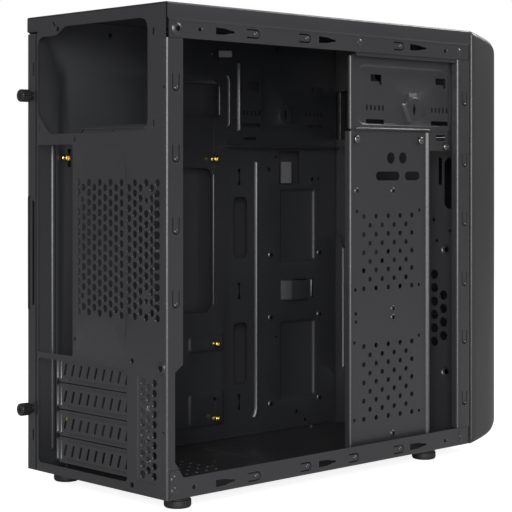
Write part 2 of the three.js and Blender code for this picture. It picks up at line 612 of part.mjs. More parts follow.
function slotCover(k) {
  const z = slotZ(k);
  const half = 9.4;
  const slots = [];
  for (let i = 0; i < 9; i += 1) {
    const x = 46.6 + 9.25 * i;
    slots.push([[x + 1.6, z - 4.2], [x + 3.6, z - 4.2], [x + 0.6, z + 4.2], [x - 1.4, z + 4.2]]);
  }
  const tab = LEDGE_X - GAP - SHEET;
  return join([
    sheetY(
      [[tab, z - half], [122, z - half], [126, z - half + 3], [128.4, z - half + 3], [128.4, z + half - 3],
        [126, z + half - 3], [122, z + half], [tab, z + half]],
      slots,
      COVER_T,
      COVER_T + SHEET,
    ),
    block(127.6, 128.4, COVER_T, COVER_T + 5, z - half + 3, z + half - 3),
    sheetX(rect(COVER_T, z - half + 1, 15.4, z + half - 1), [disc(11, z, 1.9, 8)], tab, tab + SHEET),
  ]);
}

function screw(place, head, shank, length, sides = 10) {
  return turned([[0, 0], [head, 0], [head, 1.3], [head * 0.72, 2.1], [0, 2.1]], sides, place)
    .add(turned([[0, -length], [shank, -length], [shank, 0.4], [0, 0.4]], 8, place));
}

// ---- small parts ---------------------------------------------------------------------------
const STANDOFFS = [[28, 241.5], [28, 37.4], [90, 241.5], [110, 84], [184.6, 241.5], [185.2, 84], [185.2, 20.4]];

function standoff(t, z) {
  const x = BOARD_X - GAP;
  const raised = z < 95 && t > 144 ? 1.2 : 0;
  return sheetX(disc(t, z, 2.9, 6), [disc(t, z, 1.4, 6)], x - raised - STANDOFF_HEIGHT + 0.9, x - raised)
    .add(sheetX(disc(t, z, 2.4, 6, 0.5), [disc(t, z, 1.4, 6)], x - raised - STANDOFF_HEIGHT, x - raised - 5));
}

function foot(x, t) {
  const top = -GAP;
  return turned(
    [[0, -FOOT_HEIGHT], [9.2, -FOOT_HEIGHT], [FOOT_RADIUS, -FOOT_HEIGHT + 0.8], [FOOT_RADIUS - 0.4, top],
      [1.9, top], [1.9, 2.2], [1.2, 3], [0, 3]],
    16,
    alongZ(x, t, 0),
  );
}

function thumbscrew(z) {
  const place = rearward(PANEL_SCREW_X, 0, z);
  const body = turned(
    [[0, -7], [1.7, -6.4], [1.7, 0.2], [3.4, 0.2], [3.4, 2.6], [4.3, 2.9], [4.9, 3.5], [4.9, SCREW_REACH - 0.7],
      [4.3, SCREW_REACH], [0, SCREW_REACH]],
    16,
    place,
  );
  const flutes = [];
  for (let i = 0; i < 8; i += 1) {
    const angle = 2 * Math.PI * i / 8;
    flutes.push(sheetY(
      disc(PANEL_SCREW_X + 5.3 * Math.cos(angle), z + 5.3 * Math.sin(angle), 0.8, 6),
      [],
      -SCREW_REACH - 1,
      -3.4,
    ));
  }
  const cross = [
    block(PANEL_SCREW_X - 2.4, PANEL_SCREW_X + 2.4, -SCREW_REACH - 1, -SCREW_REACH + 1.2, z - 0.5, z + 0.5),
    block(PANEL_SCREW_X - 0.5, PANEL_SCREW_X + 0.5, -SCREW_REACH - 1, -SCREW_REACH + 1.2, z - 2.4, z + 2.4),
  ];
  return cut(body, [...flutes, ...cross]);
}

// ---- front bezel and what it carries -------------------------------------------------------
const BEZEL_REAR = 338.2;
const CONTROLS_Z = 320;
const POWER_X = 42;
const RESET_X = 62;
const LEDS = [[78, 'power'], [84, 'disk']];
const USB_X = [100, 118];
const AUDIO_X = [134, 145];
const BEZEL_RINGS = [
  // [t, side inset, top, bottom, corner radius]
  [BEZEL_REAR, -BEZEL_PROUD, 350.4, -0.8, 5],
  [353, 0.2, 347.2, 1.6, 5],
  [364, 1.1, 344.6, 4.2, 6],
  [371, 2.5, 342, 7.4, 7],
  [375.4, 5, 338.6, 11, 7],
  [BEZEL_FRONT, 8.6, 334.8, 15, 7],
];

function bezelLoops(inset, rings) {
  return rings.map(([, side, top, low, r]) =>
    rounded(side + inset, low + inset, WIDTH - side - inset, top - inset, r, 3));
}

function frontBezel() {
  const place = (x, z, t) => [x, -t, z];
  const outer = loft(bezelLoops(0, BEZEL_RINGS), BEZEL_RINGS.map((r) => r[0]), place);
  const inner = loft(
    bezelLoops(BEZEL_WALL, BEZEL_RINGS),
    BEZEL_RINGS.map((r, i) => (i === 0 ? r[0] - 3 : r[0] - BEZEL_WALL)),
    place,
  );
  const ring = sheetY(
    rounded(3.4, 3.4, WIDTH - 3.4, HEIGHT - 4, 4, 2),
    [rounded(5.4, 5.4, WIDTH - 5.4, HEIGHT - 6, 3, 2)],
    DEPTH + GAP,
    BEZEL_REAR + 14,
  );
  const openings = [
    rounded(BAY.x0 - 0.3, BAY.z0 - 0.3, BAY.x1 + 0.3, BAY.z1 + 0.3, 1.5, 1),
    disc(POWER_X, CONTROLS_Z, 8.5, 16), disc(RESET_X, CONTROLS_Z, 4, 16),
    ...LEDS.map(([x]) => disc(x, CONTROLS_Z, 1.5, 10)),
    ...USB_X.map((x) => rect(x - 6.9, CONTROLS_Z - 3.2, x + 6.9, CONTROLS_Z + 3.2)),
    ...AUDIO_X.map((x) => disc(x, CONTROLS_Z, 3.6, 16)),
  ];
  for (let i = 0; i < 15; i += 1) {
    const z = 40 + 13.4 * i;
    openings.push(rounded(24, z, WIDTH - 24, z + 4.6, 2.2, 1));
  }
  const tools = openings.map((hole) => sheetY(hole, [], BEZEL_FRONT - 9, BEZEL_FRONT + 2));
  const vents = [];
  for (let i = 0; i < 9; i += 1) {
    const t = 345;
    const z = 60 + 24 * i;
    vents.push(block(WIDTH - 6, WIDTH + 4, t, t + 14, z, z + 3));
  }
  // Clips that reach through the front sheet's slots, and the board bosses.
  const clips = [[6.4, 30], [6.4, 178], [6.4, 318], [161.6, 30], [161.6, 178], [161.6, 318]].map(([x, z]) =>
    block(x - 0.7, x + 0.7, DEPTH - 4.6, BEZEL_REAR + 13, z - 3.6, z + 3.6));
  const shell = outer.subtract(inner).add(ring);
  const tie = join([
    block(3, 7.4, BEZEL_REAR + 8, BEZEL_REAR + 13, 20, 330),
    block(WIDTH - 7.4, WIDTH - 3, BEZEL_REAR + 8, BEZEL_REAR + 13, 20, 330),
  ]);
  return cut(join([shell, tie, ...clips]), [...tools, ...vents]);
}

function bayCover() {
  const front = BEZEL_FRONT - 0.4;
  const frame = rounded(BAY.x0, BAY.z0, BAY.x1, BAY.z1, 1.5, 1);
  const hollow = rect(BAY.x0 + 2, BAY.z0 + 2, BAY.x1 - 2, BAY.z1 - 2);
  const groove = rounded(BAY.x0 + 50, BAY.z0 + 7, BAY.x1 - 50, BAY.z0 + 12, 2, 2);
  return join([
    sheetY(frame, [], front - 2.2, front),
    sheetY(frame, [hollow], front - 12, front - 2),
    block(BAY.x0, BAY.x0 + 1.6, front - 22, front - 2, BAY.z0 + 12, BAY.z0 + 30),
    block(BAY.x1 - 1.6, BAY.x1, front - 22, front - 2, BAY.z0 + 12, BAY.z0 + 30),
  ]).subtract(sheetY(groove, [], front - 0.8, front + 1));
}

function button(x, radius) {
  const reach = BEZEL_FRONT + BUTTON_PROUD;
  const inside = BEZEL_FRONT - BEZEL_WALL - GAP;
  const side = 16;
  return join([
    sheetY(disc(x, CONTROLS_Z, radius, side), [], inside - 1, reach - 0.6),
    sheetY(disc(x, CONTROLS_Z, radius - 0.5, side), [], reach - 0.8, reach),
    sheetY(disc(x, CONTROLS_Z, radius + 1.6, side), [], inside - 1.6, inside),
    sheetY(disc(x, CONTROLS_Z, 1.9, 10), [], inside - 5, inside - 1),
  ]);
}

const BOARD_T = 360;

function tactSwitch(x) {
  const tip = BEZEL_FRONT - BEZEL_WALL - GAP - 5 - 1.9;
  return join([
    block(x - 3, x + 3, BOARD_T + 1.6 + GAP, BOARD_T + 5.6, CONTROLS_Z - 3, CONTROLS_Z + 3),
    sheetY(disc(x, CONTROLS_Z, 1.7, 12), [], BOARD_T + 5.4, tip),
  ]);
}

function ledPipe(x) {
  return join([
    sheetY(disc(x, CONTROLS_Z, 1.2, 10), [], BOARD_T + 7.4, BEZEL_FRONT + 0.2),
    sheetY(disc(x, CONTROLS_Z, 2, 10), [], BOARD_T + 1.6 + GAP, BOARD_T + 7.6),
  ]);
}

function ioBoard() {
  return sheetY(rounded(34, 311, 153, 329, 1.5, 1), [disc(50.5, 325.5, 1.5, 8), disc(91, 325.5, 1.5, 8),
    disc(126, 325.5, 1.5, 8)], BOARD_T, BOARD_T + 1.6);
}

function usbPort(x) {
  const shell = sheetY(rect(x - 6.5, 317.2, x + 6.5, 322.8), [], BOARD_T + 1.6 + GAP, BEZEL_FRONT - 0.4);
  const mouth = sheetY(rect(x - 6.1, 317.6, x + 6.1, 322.4), [], BOARD_T + 5, BEZEL_FRONT + 1);
  const tongue = block(x - 5.4, x + 5.4, BOARD_T + 4, BEZEL_FRONT - 1.4, 320.4, 321.6);
  return shell.subtract(mouth).add(tongue);
}

function audioJack(x) {
  return join([
    sheetY(disc(x, CONTROLS_Z, 3.2, 16), [disc(x, CONTROLS_Z, 1.8, 12)], BOARD_T + 10, BEZEL_FRONT - 0.2),
    block(x - 4, x + 4, BOARD_T + 1.6 + GAP, BOARD_T + 12, 315.6, 324.4)
      .subtract(sheetY(disc(x, CONTROLS_Z, 1.8, 12), [], BOARD_T + 4, BOARD_T + 13)),
  ]);
}

// ---- assembly ------------------------------------------------------------------------------
const LOOKS = {
  steel: { color: 0x3c3c3f, roughness: 0.55, metalness: 0.2 },
  plastic: { color: 0x3a3a3a, roughness: 0.5, metalness: 0 },
  black: { color: 0x18181a, roughness: 0.6, metalness: 0 },
  brass: { color: 0xb9963c, roughness: 0.3, metalness: 1 },
  zinc: { color: 0xa9abad, roughness: 0.35, metalness: 1 },
  board: { color: 0x1f4a2c, roughness: 0.5, metalness: 0 },
  clear: { color: 0xd8e2ee, roughness: 0.2, metalness: 0 },
};

const object = new THREE.Group();
object.position.set(
  -(WIDTH + GRIP_PROUD - BEZEL_PROUD) / 2,
  (BEZEL_FRONT + BUTTON_PROUD - SCREW_REACH) / 2,
  FOOT_HEIGHT,
);

function put(name, body, look) {
  const mesh = body.getMesh();
  const g = new THREE.BufferGeometry();
  g.setAttribute('position', new THREE.BufferAttribute(mesh.vertProperties, 3));
  g.setIndex(new THREE.BufferAttribute(mesh.triVerts, 1));
  g.computeVertexNormals();
  const node = new THREE.Mesh(g, new THREE.MeshStandardMaterial(LOOKS[look]));
  node.name = name;
  object.add(node);
}

put('rear_panel', rearPanel(), 'steel');
put('top_cover', topCover(), 'steel');
put('bottom_pan', bottomPan(), 'steel');
put('motherboard_tray', motherboardTray(), 'steel');
put('front_sheet', frontPanel(), 'steel');
put('right_side_panel', sidePanel(), 'steel');
put('cage_left_wall', cageLeftWall(), 'steel');
put('bay_shelf', bayShelf(), 'steel');
put('hard_drive_plate', hardDrivePlate(), 'steel');
put('psu_shelf', psuShelf(), 'steel');
put('slot_ledge', slotLedge(), 'steel');
for (let k = 0; k < SLOT_COUNT; k += 1) {
  put(`slot_cover_${k + 1}`, slotCover(k), 'steel');
  put(`slot_screw_${k + 1}`, screw(leftward(LEDGE_X - SHEET - 2 * GAP, 11, slotZ(k)), 3.2, 1.5, 4.4), 'zinc');
}
STANDOFFS.forEach(([t, z], i) => put(`standoff_${i + 1}`, standoff(t, z), 'brass'));
FEET.forEach(([x, t], i) => put(`foot_${i + 1}`, foot(x, t), 'black'));
put('thumbscrew_upper', thumbscrew(PANEL_SCREWS[0]), 'black');
put('thumbscrew_lower', thumbscrew(PANEL_SCREWS[1]), 'black');
put('plate_screw_rear', screw(leftward(PLATE_X - GAP, 202.7, 256.4), 3.1, 1.3, 4), 'zinc');
put('plate_screw_front', screw(leftward(PLATE_X - GAP, 280.6, 256.2), 3.1, 1.3, 4), 'zinc');
put('cage_screw', screw(leftward(PLATE_X + SHEET, 314.2, 251.6), 3.1, 1.3, 4), 'zinc');
put('front_bezel', frontBezel(), 'plastic');
put('bay_cover', bayCover(), 'plastic');
put('power_button', button(POWER_X, 8), 'plastic');
put('reset_button', button(RESET_X, 3.5), 'plastic');
put('power_switch', tactSwitch(POWER_X), 'black');
put('reset_switch', tactSwitch(RESET_X), 'black');
for (const [x, name] of LEDS) {
  put(`${name}_light_pipe`, ledPipe(x), 'clear');
}
put('front_io_board', ioBoard(), 'board');
USB_X.forEach((x, i) => put(`usb_port_${i + 1}`, usbPort(x), 'zinc'));
AUDIO_X.forEach((x, i) => put(`audio_jack_${i + 1}`, audioJack(x), 'black'));

export default object;
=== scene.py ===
"""Looks of an empty desktop computer tower case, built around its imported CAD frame."""

import math

import bmesh
import bpy
import numpy as np
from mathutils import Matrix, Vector
from mathutils.geometry import delaunay_2d_cdt

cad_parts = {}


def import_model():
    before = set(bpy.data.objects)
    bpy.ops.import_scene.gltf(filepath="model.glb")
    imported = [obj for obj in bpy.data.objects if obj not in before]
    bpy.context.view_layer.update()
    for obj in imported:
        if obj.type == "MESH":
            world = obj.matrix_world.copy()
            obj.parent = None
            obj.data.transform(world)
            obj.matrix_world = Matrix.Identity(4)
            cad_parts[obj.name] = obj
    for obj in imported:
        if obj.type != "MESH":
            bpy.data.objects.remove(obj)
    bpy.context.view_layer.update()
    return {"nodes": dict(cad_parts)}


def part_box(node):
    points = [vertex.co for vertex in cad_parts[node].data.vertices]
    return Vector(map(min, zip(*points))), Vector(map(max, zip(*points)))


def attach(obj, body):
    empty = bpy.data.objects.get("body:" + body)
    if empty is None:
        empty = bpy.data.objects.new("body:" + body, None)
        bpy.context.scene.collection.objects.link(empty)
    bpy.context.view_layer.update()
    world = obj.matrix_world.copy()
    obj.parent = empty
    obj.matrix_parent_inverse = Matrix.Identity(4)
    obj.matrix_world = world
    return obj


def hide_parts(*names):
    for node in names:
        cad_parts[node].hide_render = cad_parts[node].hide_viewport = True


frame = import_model()

# ---- layout ---------------------------------------------------------------------------------
# Sizes are millimetres from the rear lower left corner of the steel chassis: s across from the
# open left side, t forward from the rear face, z up from the underside of the pan.
cover_low, cover_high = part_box("top_cover")
WIDTH = (cover_high.x - cover_low.x) * 1000
DEPTH = (cover_high.y - cover_low.y) * 1000 + 0.3
HEIGHT = 350.0
S0 = cover_low.x * 1000
T0 = cover_high.y * 1000
Z0 = cover_high.z * 1000 - HEIGHT
SHEET = 0.8
RAIL = 1.0
RAIL_TOP = 338.2
RAIL_LOW = 325.0
RAIL_DEEP = 15.0
PAN_RAIL = 14.9
TRAY = 156.7
PLATE = 8.5
CAGE_REAR = 196.3


def world(s, t, z):
    s, t, z = np.broadcast_arrays(*(np.asarray(c, float) for c in (s, t, z)))
    return np.stack([S0 + s, T0 - t, Z0 + z], axis=-1) * 0.001


# ---- outlines -------------------------------------------------------------------------------
def rect(a0, b0, a1, b1):
    return [(a0, b0), (a1, b0), (a1, b1), (a0, b1)]


def rounded(a0, b0, a1, b1, r, steps=6):
    r = max(0.05, min(r, (a1 - a0) / 2 - 0.01, (b1 - b0) / 2 - 0.01))
    points = []
    for a, b, start in (
        (a1 - r, b0 + r, -90), (a1 - r, b1 - r, 0), (a0 + r, b1 - r, 90), (a0 + r, b0 + r, 180),
    ):
        for i in range(steps + 1):
            angle = math.radians(start + 90 * i / steps)
            points.append((a + r * math.cos(angle), b + r * math.sin(angle)))
    return points


def disc(a, b, r, sides=20, turn=0.0):
    return [
        (
            a + r * math.cos(2 * math.pi * (i + turn) / sides),
            b + r * math.sin(2 * math.pi * (i + turn) / sides),
        )
        for i in range(sides)
    ]


def soften(points, radius, steps=4):
    """The outline with each corner rounded."""
    result = []
    count = len(points)
    for i in range(count):
        p, a, b = (np.array(points[j % count], float) for j in (i, i - 1, i + 1))
        to_a, to_b = a - p, b - p
        reach = min(radius, np.linalg.norm(to_a) * 0.45, np.linalg.norm(to_b) * 0.45)
        start = p + to_a / np.linalg.norm(to_a) * reach
        end = p + to_b / np.linalg.norm(to_b) * reach
        for k in range(steps + 1):
            w = k / steps
            q = (1 - w) ** 2 * start + 2 * w * (1 - w) * p + w * w * end
            result.append((q[0], q[1]))
    return result


def honeycomb(a0, b0, columns, rows, pitch, radius, keep):
    cells = []
    for i in range(columns):
        for j in range(rows - i % 2):
            a = a0 + i * pitch * math.sqrt(3) / 2
            b = b0 - (j + 0.5 * (i % 2)) * pitch
            if keep(a, b):
                cells.append(soften(disc(a, b, radius, 6), 0.9, 1))
    return cells


def tongue(t0, t1, z, half=3.4, slit=1.0):
    """Slit that leaves a sprung tongue, open towards t0."""
    outer = [(t0, z - half)]
    inner = [(t0, z - half + slit)]
    for r, points in ((half, outer), (half - slit, inner)):
        for i in range(11):
            angle = math.radians(-90 + 18 * i)
            points.append((t1 - half + r * math.cos(angle), z + r * math.sin(angle)))
    outer.append((t0, z + half))
    inner.append((t0, z + half - slit))
    return outer + inner[::-1]


def turned(points):
    return [(b, -a) for a, b in points]


def along(u, loop):
    """The outline with its first coordinate measured along a folded sheet."""
    return [(u(a), b) for a, b in loop]


def hook_slot(t0, t1, z):
    middle = t0 + 0.55 * (t1 - t0)
    return soften(
        [
            (t0, z - 2.6), (middle - 1, z - 2.2), (t1 - 4, z - 1.0), (t1, z - 0.8), (t1, z + 0.8),
            (t1 - 4, z + 1.0), (middle - 1, z + 2.2), (t0, z + 2.6),
        ],
        0.6, 2,
    )


def inside(loop, points, tolerance=0.0):
    a = np.asarray(loop, float)
    b = np.roll(a, -1, axis=0)
    x, y = points[:, 0, None], points[:, 1, None]
    slope = (b[:, 0] - a[:, 0]) / (b[:, 1] - a[:, 1] + 1e-30)
    crossed = ((a[:, 1] > y) != (b[:, 1] > y)) & (x < slope * (y - a[:, 1]) + a[:, 0])
    found = crossed.sum(axis=1) % 2 == 1
    if tolerance:
        d = b - a
        share = ((points[:, None] - a) * d).sum(axis=2) / ((d**2).sum(axis=1) + 1e-30)
        nearest = a + np.clip(share, 0, 1)[:, :, None] * d
        found |= np.linalg.norm(points[:, None] - nearest, axis=2).min(axis=1) < tolerance
    return found


# ---- reliefs: nested loops and how far each stands out of its sheet ----------------------------
def ease(w):
    return w * w * (3 - 2 * w)


def pressed(a0, b0, a1, b1, rise, corner=3.0, slope=None, steps=4):
    slope = slope or abs(rise) * 1.2 + 0.4
    loops = []
    for k in range(steps + 1):
        d = slope * k / steps
        loops.append(rounded(a0 + d, b0 + d, a1 - d, b1 - d, max(corner - d * 0.5, 0.3), 5))
    return loops, [rise * ease(k / steps) for k in range(steps + 1)]


def dome(a, b, r, rise, flat=0.35, sides=20, steps=4):
    loops = []
    heights = []
    for k in range(steps + 1):
        w = k / steps
        loops.append(disc(a, b, r * (1 - w * (1 - flat)), sides))
        heights.append(rise * math.sin(w * math.pi / 2))
    return loops, heights


def bead(points, width, rise, steps=4):
    """Rounded rib along a line of points: nested outlines round the line."""
    line = np.array(points, float)
    loops = []
    heights = []
    for k in range(steps + 1):
        half = width / 2 * (1 - k / steps) + 0.12
        left, right = [], []
        for i, p in enumerate(line):
            a = line[max(i - 1, 0)]
            b = line[min(i + 1, len(line) - 1)]
            d = (b - a) / np.linalg.norm(b - a)
            left.append(p + half * np.array([-d[1], d[0]]))
            right.append(p - half * np.array([-d[1], d[0]]))
        ends = []
        for centre, other in ((line[-1], line[-2]), (line[0], line[1])):
            d = (centre - other) / np.linalg.norm(centre - other)
            n = np.array([-d[1], d[0]])
            ends.append(
                [
                    centre + half * (math.cos(a) * d - math.sin(a) * n)
                    for a in (math.radians(x) for x in (60, 30, 0, -30, -60))
                ]
            )
        loops.append([tuple(q) for q in right + ends[0] + left[::-1] + ends[1]])
        heights.append(rise * math.sin(k / steps * math.pi / 2))
    return loops, heights


def between(outer, inner, rise, steps=4):
    """Slope between two outlines of equal counts."""
    outer, inner = np.array(outer, float), np.array(inner, float)
    loops = [list(map(tuple, outer + (inner - outer) * k / steps)) for k in range(steps + 1)]
    return loops, [rise * ease(k / steps) for k in range(steps + 1)]


# ---- meshes ---------------------------------------------------------------------------------
def mesh_object(name, vertices, faces, material, sharp=35.0):
    bm = bmesh.new()
    made = [bm.verts.new(v) for v in vertices]
    for f in faces:
        if len(set(f)) == len(f):
            try:
                bm.faces.new([made[i] for i in f])
            except ValueError:
                pass
    loose = [v for v in bm.verts if not v.link_faces]
    bmesh.ops.delete(bm, geom=loose, context="VERTS")
    bmesh.ops.recalc_face_normals(bm, faces=bm.faces)
    mesh = bpy.data.meshes.new(name)
    bm.to_mesh(mesh)
    bm.free()
    for polygon in mesh.polygons:
        polygon.use_smooth = True
    mesh.set_sharp_from_angle(angle=math.radians(sharp))
    mesh.materials.append(material)
    made_object = bpy.data.objects.new(name, mesh)
    bpy.context.scene.collection.objects.link(made_object)
    return made_object


def sheet_data(outline, holes, place, relief=(), lines=(), thick=SHEET):
    """Vertices and faces of a sheet: (u, v, height over its outer face) goes through place."""
    points = []
    edges = []

    def add(loop, closed=True):
        first = len(points)
        points.extend(loop)
        edges.extend((i, i + 1) for i in range(first, len(points) - 1))
        if closed:
            edges.append((len(points) - 1, first))

    add(outline)
    for hole in holes:
        add(hole)
    for loops, _ in relief:
        for loop in loops:
            add(loop)
    for line in lines:
        add(line, False)
    result = delaunay_2d_cdt([Vector(p) for p in points], edges, [], 0, 1e-5)
    uv = np.array([tuple(v) for v in result[0]])
    triangles = np.array(result[2])
    centres = uv[triangles].mean(axis=1)
    keep = inside(outline, centres)
    for hole in holes:
        corner = np.asarray(hole)
        low, high = corner.min(axis=0), corner.max(axis=0)
        near = np.where(keep & ((centres >= low) & (centres <= high)).all(axis=1))[0]
        if len(near):
            keep[near[inside(hole, centres[near])]] = False
    triangles = triangles[keep]
    height = np.zeros(len(uv))
    for loops, heights in relief:
        level = np.zeros(len(uv))
        for loop, h in zip(loops, heights):
            level[inside(loop, uv, 1e-3)] = h
        height += level
    front = place(uv[:, 0], uv[:, 1], height)
    back = place(uv[:, 0], uv[:, 1], height - thick)
    count = len(uv)
    faces = [tuple(f) for f in triangles] + [(c + count, b + count, a + count) for a, b, c in triangles]
    used = {}
    for a, b, c in triangles:
        for edge in ((a, b), (b, c), (c, a)):
            key = (min(edge), max(edge))
            used[key] = None if key in used else edge
    faces += [(b, a, a + count, b + count) for a, b in (e for e in used.values() if e)]
    return np.concatenate([front, back]), faces


def merge(parts):
    vertices = []
    faces = []
    for v, f in parts:
        base = sum(len(x) for x in vertices)
        vertices.append(v)
        faces += [tuple(int(i) + base for i in face) for face in f]
    return np.concatenate(vertices), faces


class Path:
    """Cross-section of a folded sheet: corners in a plane, each fold with its outer radius."""

    def __init__(self, corners, radii, side, plane, segments=8):
        self.plane = plane
        corners = [np.array(c, float) for c in corners]
        self.starts = []
        points, normals, self.folds = [], [], []
        for i, p in enumerate(corners):
            if 0 < i < len(corners) - 1:
                into = (p - corners[i - 1]) / np.linalg.norm(p - corners[i - 1])
                away = (corners[i + 1] - p) / np.linalg.norm(corners[i + 1] - p)
                turn = math.atan2(into[0] * away[1] - into[1] * away[0], into @ away)
                cut = radii[i - 1] * math.tan(abs(turn) / 2)
                start, end = p - into * cut, p + away * cut
                for k in range(segments + 1):
                    angle = turn * k / segments
                    c, s = math.cos(angle), math.sin(angle)
                    direction = np.array([into[0] * c - into[1] * s, into[0] * s + into[1] * c])
                    normal = side * np.array([-direction[1], direction[0]])
                    first = side * np.array([-into[1], into[0]])
                    sign = -1 if turn * side > 0 else 1
                    centre = start - sign * first * radii[i - 1]
                    points.append(centre + sign * normal * radii[i - 1])
                    normals.append(normal)
                    self.folds.append(len(points) - 1)
                self.starts.append((end, away, len(points) - 1))
            else:
                other = corners[1] if i == 0 else corners[-2]
                direction = (other - p) if i == 0 else (p - other)
                direction = direction / np.linalg.norm(direction)
                points.append(p)
                normals.append(side * np.array([-direction[1], direction[0]]))
                if i == 0:
                    self.starts.append((p, direction, 0))
        self.points = np.array(points)
        self.normals = np.array(normals)
        steps = np.linalg.norm(np.diff(self.points, axis=0), axis=1)
        self.length = np.concatenate([[0], np.cumsum(steps)])

    def u(self, flange, value):
        start, direction, index = self.starts[flange]
        axis = 0 if abs(direction[0]) > abs(direction[1]) else 1
        return self.length[index] + (value - start[axis]) / direction[axis]

    def place(self, u, v, h):
        a = np.interp(u, self.length, self.points[:, 0])
        b = np.interp(u, self.length, self.points[:, 1])
        a = a + h * np.interp(u, self.length, self.normals[:, 0])
        b = b + h * np.interp(u, self.length, self.normals[:, 1])
        return world(a, b, v) if self.plane == "st" else world(a, v, b)

    def fold_lines(self, v0, v1):
        return [[(self.length[i], v0 - 1), (self.length[i], v1 + 1)] for i in self.folds]

    def sheet(self, outline, holes, relief, reach):
        return sheet_data(outline, holes, self.place, relief, self.fold_lines(0, reach))


def folded(corners, radii, plane, faced, flange, axis):
    """Bent strip whose given flange faces the given way along an axis."""
    path = Path(corners, radii, 1, plane)
    if path.normals[flange][axis] * faced < 0:
        path = Path(corners, radii, -1, plane)
    return path


def facing_left(s):
    """Flat sheet in (t, z) whose outer face looks to the open side."""
    return lambda u, v, h: world(s - h, u, v)


def facing_rear(t):
    return lambda u, v, h: world(u, t - h, v)


def facing_front(t):
    return lambda u, v, h: world(u, t + h, v)


def facing_up(z):
    return lambda u, v, h: world(u, v, z + h)


def lathe_data(profile, place, sides=32):
    """Revolved profile of (radius, along); place takes (across, upright, along)."""
    vertices = []
    for r, h in profile:
        for i in range(sides):
            angle = 2 * math.pi * i / sides
            vertices.append(place(r * math.cos(angle), r * math.sin(angle), h))
    faces = []
    for k in range(len(profile) - 1):
        for i in range(sides):
            j = (i + 1) % sides
            faces.append((k * sides + i, k * sides + j, (k + 1) * sides + j, (k + 1) * sides + i))
    faces.append(tuple(range(sides)))
    faces.append(tuple((len(profile) - 1) * sides + i for i in range(sides)))
    return np.array(vertices), faces


def add_piece(name, data, material, body, slot, *nodes, sharp=35.0):
    """A piece that rides on a body and stands for the CAD nodes that are named."""
    obj = mesh_object(name, *data, material, sharp)
    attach(obj, body)
    if nodes:
        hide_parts(*nodes)


# ---- materials ------------------------------------------------------------------------------
def surface(name, color, rough, **sockets):
    material = bpy.data.materials.new(name)
    material.use_nodes = True
    tree = material.node_tree
    shader = tree.nodes["Principled BSDF"]
    shader.inputs["Base Color"].default_value = (*color, 1)
    shader.inputs["Roughness"].default_value = rough
    for key, value in sockets.items():
        shader.inputs[key.replace("_", " ")].default_value = value
    return material, tree, shader


def noise(tree, scale, detail=3.0, stretch=(1, 1, 1)):
    where = tree.nodes.new("ShaderNodeTexCoord")
    mapping = tree.nodes.new("ShaderNodeMapping")
    mapping.inputs["Scale"].default_value = stretch
    texture = tree.nodes.new("ShaderNodeTexNoise")
    texture.inputs["Scale"].default_value = scale
    texture.inputs["Detail"].default_value = detail
    tree.links.new(where.outputs["Object"], mapping.inputs["Vector"])
    tree.links.new(mapping.outputs["Vector"], texture.inputs["Vector"])
    return texture.outputs["Fac"]


def ranged(tree, value, low, high, start=0.3, end=0.7):
    node = tree.nodes.new("ShaderNodeMapRange")
    node.inputs["From Min"].default_value = start
    node.inputs["From Max"].default_value = end
    node.inputs["To Min"].default_value = low
    node.inputs["To Max"].default_value = high
    tree.links.new(value, node.inputs["Value"])
    return node.outputs["Result"]


def tinted(tree, value, low, high, start=0.3, end=0.7):
    ramp = tree.nodes.new("ShaderNodeValToRGB")
    ramp.color_ramp.elements[0].position = start
    ramp.color_ramp.elements[0].color = (*low, 1)
    ramp.color_ramp.elements[1].position = end
    ramp.color_ramp.elements[1].color = (*high, 1)
    tree.links.new(value, ramp.inputs["Fac"])
    return ramp.outputs["Color"]


def bumped(tree, shader, value, strength, distance):
    bump = tree.nodes.new("ShaderNodeBump")
    bump.inputs["Strength"].default_value = strength
    bump.inputs["Distance"].default_value = distance
    tree.links.new(value, bump.inputs["Height"])
    tree.links.new(bump.outputs["Normal"], shader.inputs["Normal"])


def coated(name, color, rough, spread=0.08, grain=2600.0, strength=0.25, **sockets):
    """Sprayed or moulded surface: a fine grain, faint patches and an uneven gloss."""
    material, tree, shader = surface(name, color, rough, **sockets)
    patches = noise(tree, 14.0, 4.0)
    low = tuple(c * (1 - spread) for c in color)
    high = tuple(c * (1 + spread) for c in color)
    tree.links.new(tinted(tree, patches, low, high), shader.inputs["Base Color"])
    fine = noise(tree, grain, 2.0)
    tree.links.new(ranged(tree, fine, rough - 0.05, rough + 0.06), shader.inputs["Roughness"])
    bumped(tree, shader, fine, strength, 0.00012)
    return material


def metal(name, low, high, rough, stretch=(1, 1, 1)):
    material, tree, shader = surface(name, high, rough, Metallic=1.0)
    grain = noise(tree, 900.0, 4.0, stretch)
    tree.links.new(tinted(tree, grain, low, high), shader.inputs["Base Color"])
    tree.links.new(ranged(tree, grain, rough - 0.08, rough + 0.1), shader.inputs["Roughness"])
    bumped(tree, shader, grain, 0.2, 0.00008)
    return material


STEEL = coated("powder_coated_steel", (0.019, 0.0188, 0.021), 0.34)
# Darker copy of the same steel for the tray and bay shelf inside the case: painted shade for the
# interior.
SHADED_STEEL = coated("powder_coated_steel_painted_shade", (0.013, 0.0135, 0.0155), 0.34)
PLASTIC = coated("satin_plastic", (0.02, 0.02, 0.0202), 0.4, spread=0.05, grain=1500.0, strength=0.18)
BLACK = coated("black_plastic", (0.008, 0.008, 0.009), 0.34, grain=1800.0, strength=0.2)
RUBBER = coated("foot_rubber", (0.009, 0.009, 0.010), 0.62, grain=1400.0, strength=0.35)
BRASS = metal("turned_brass", (0.50, 0.34, 0.08), (0.80, 0.62, 0.20), 0.24)
ZINC = metal("zinc_plate", (0.13, 0.13, 0.13), (0.24, 0.24, 0.235), 0.3, (1, 1, 3))
BOARD = coated("solder_mask", (0.010, 0.055, 0.024), 0.3, grain=800.0, strength=0.1)
CLEAR = coated("clear_pipe", (0.62, 0.66, 0.70), 0.18, grain=500.0, strength=0.05)

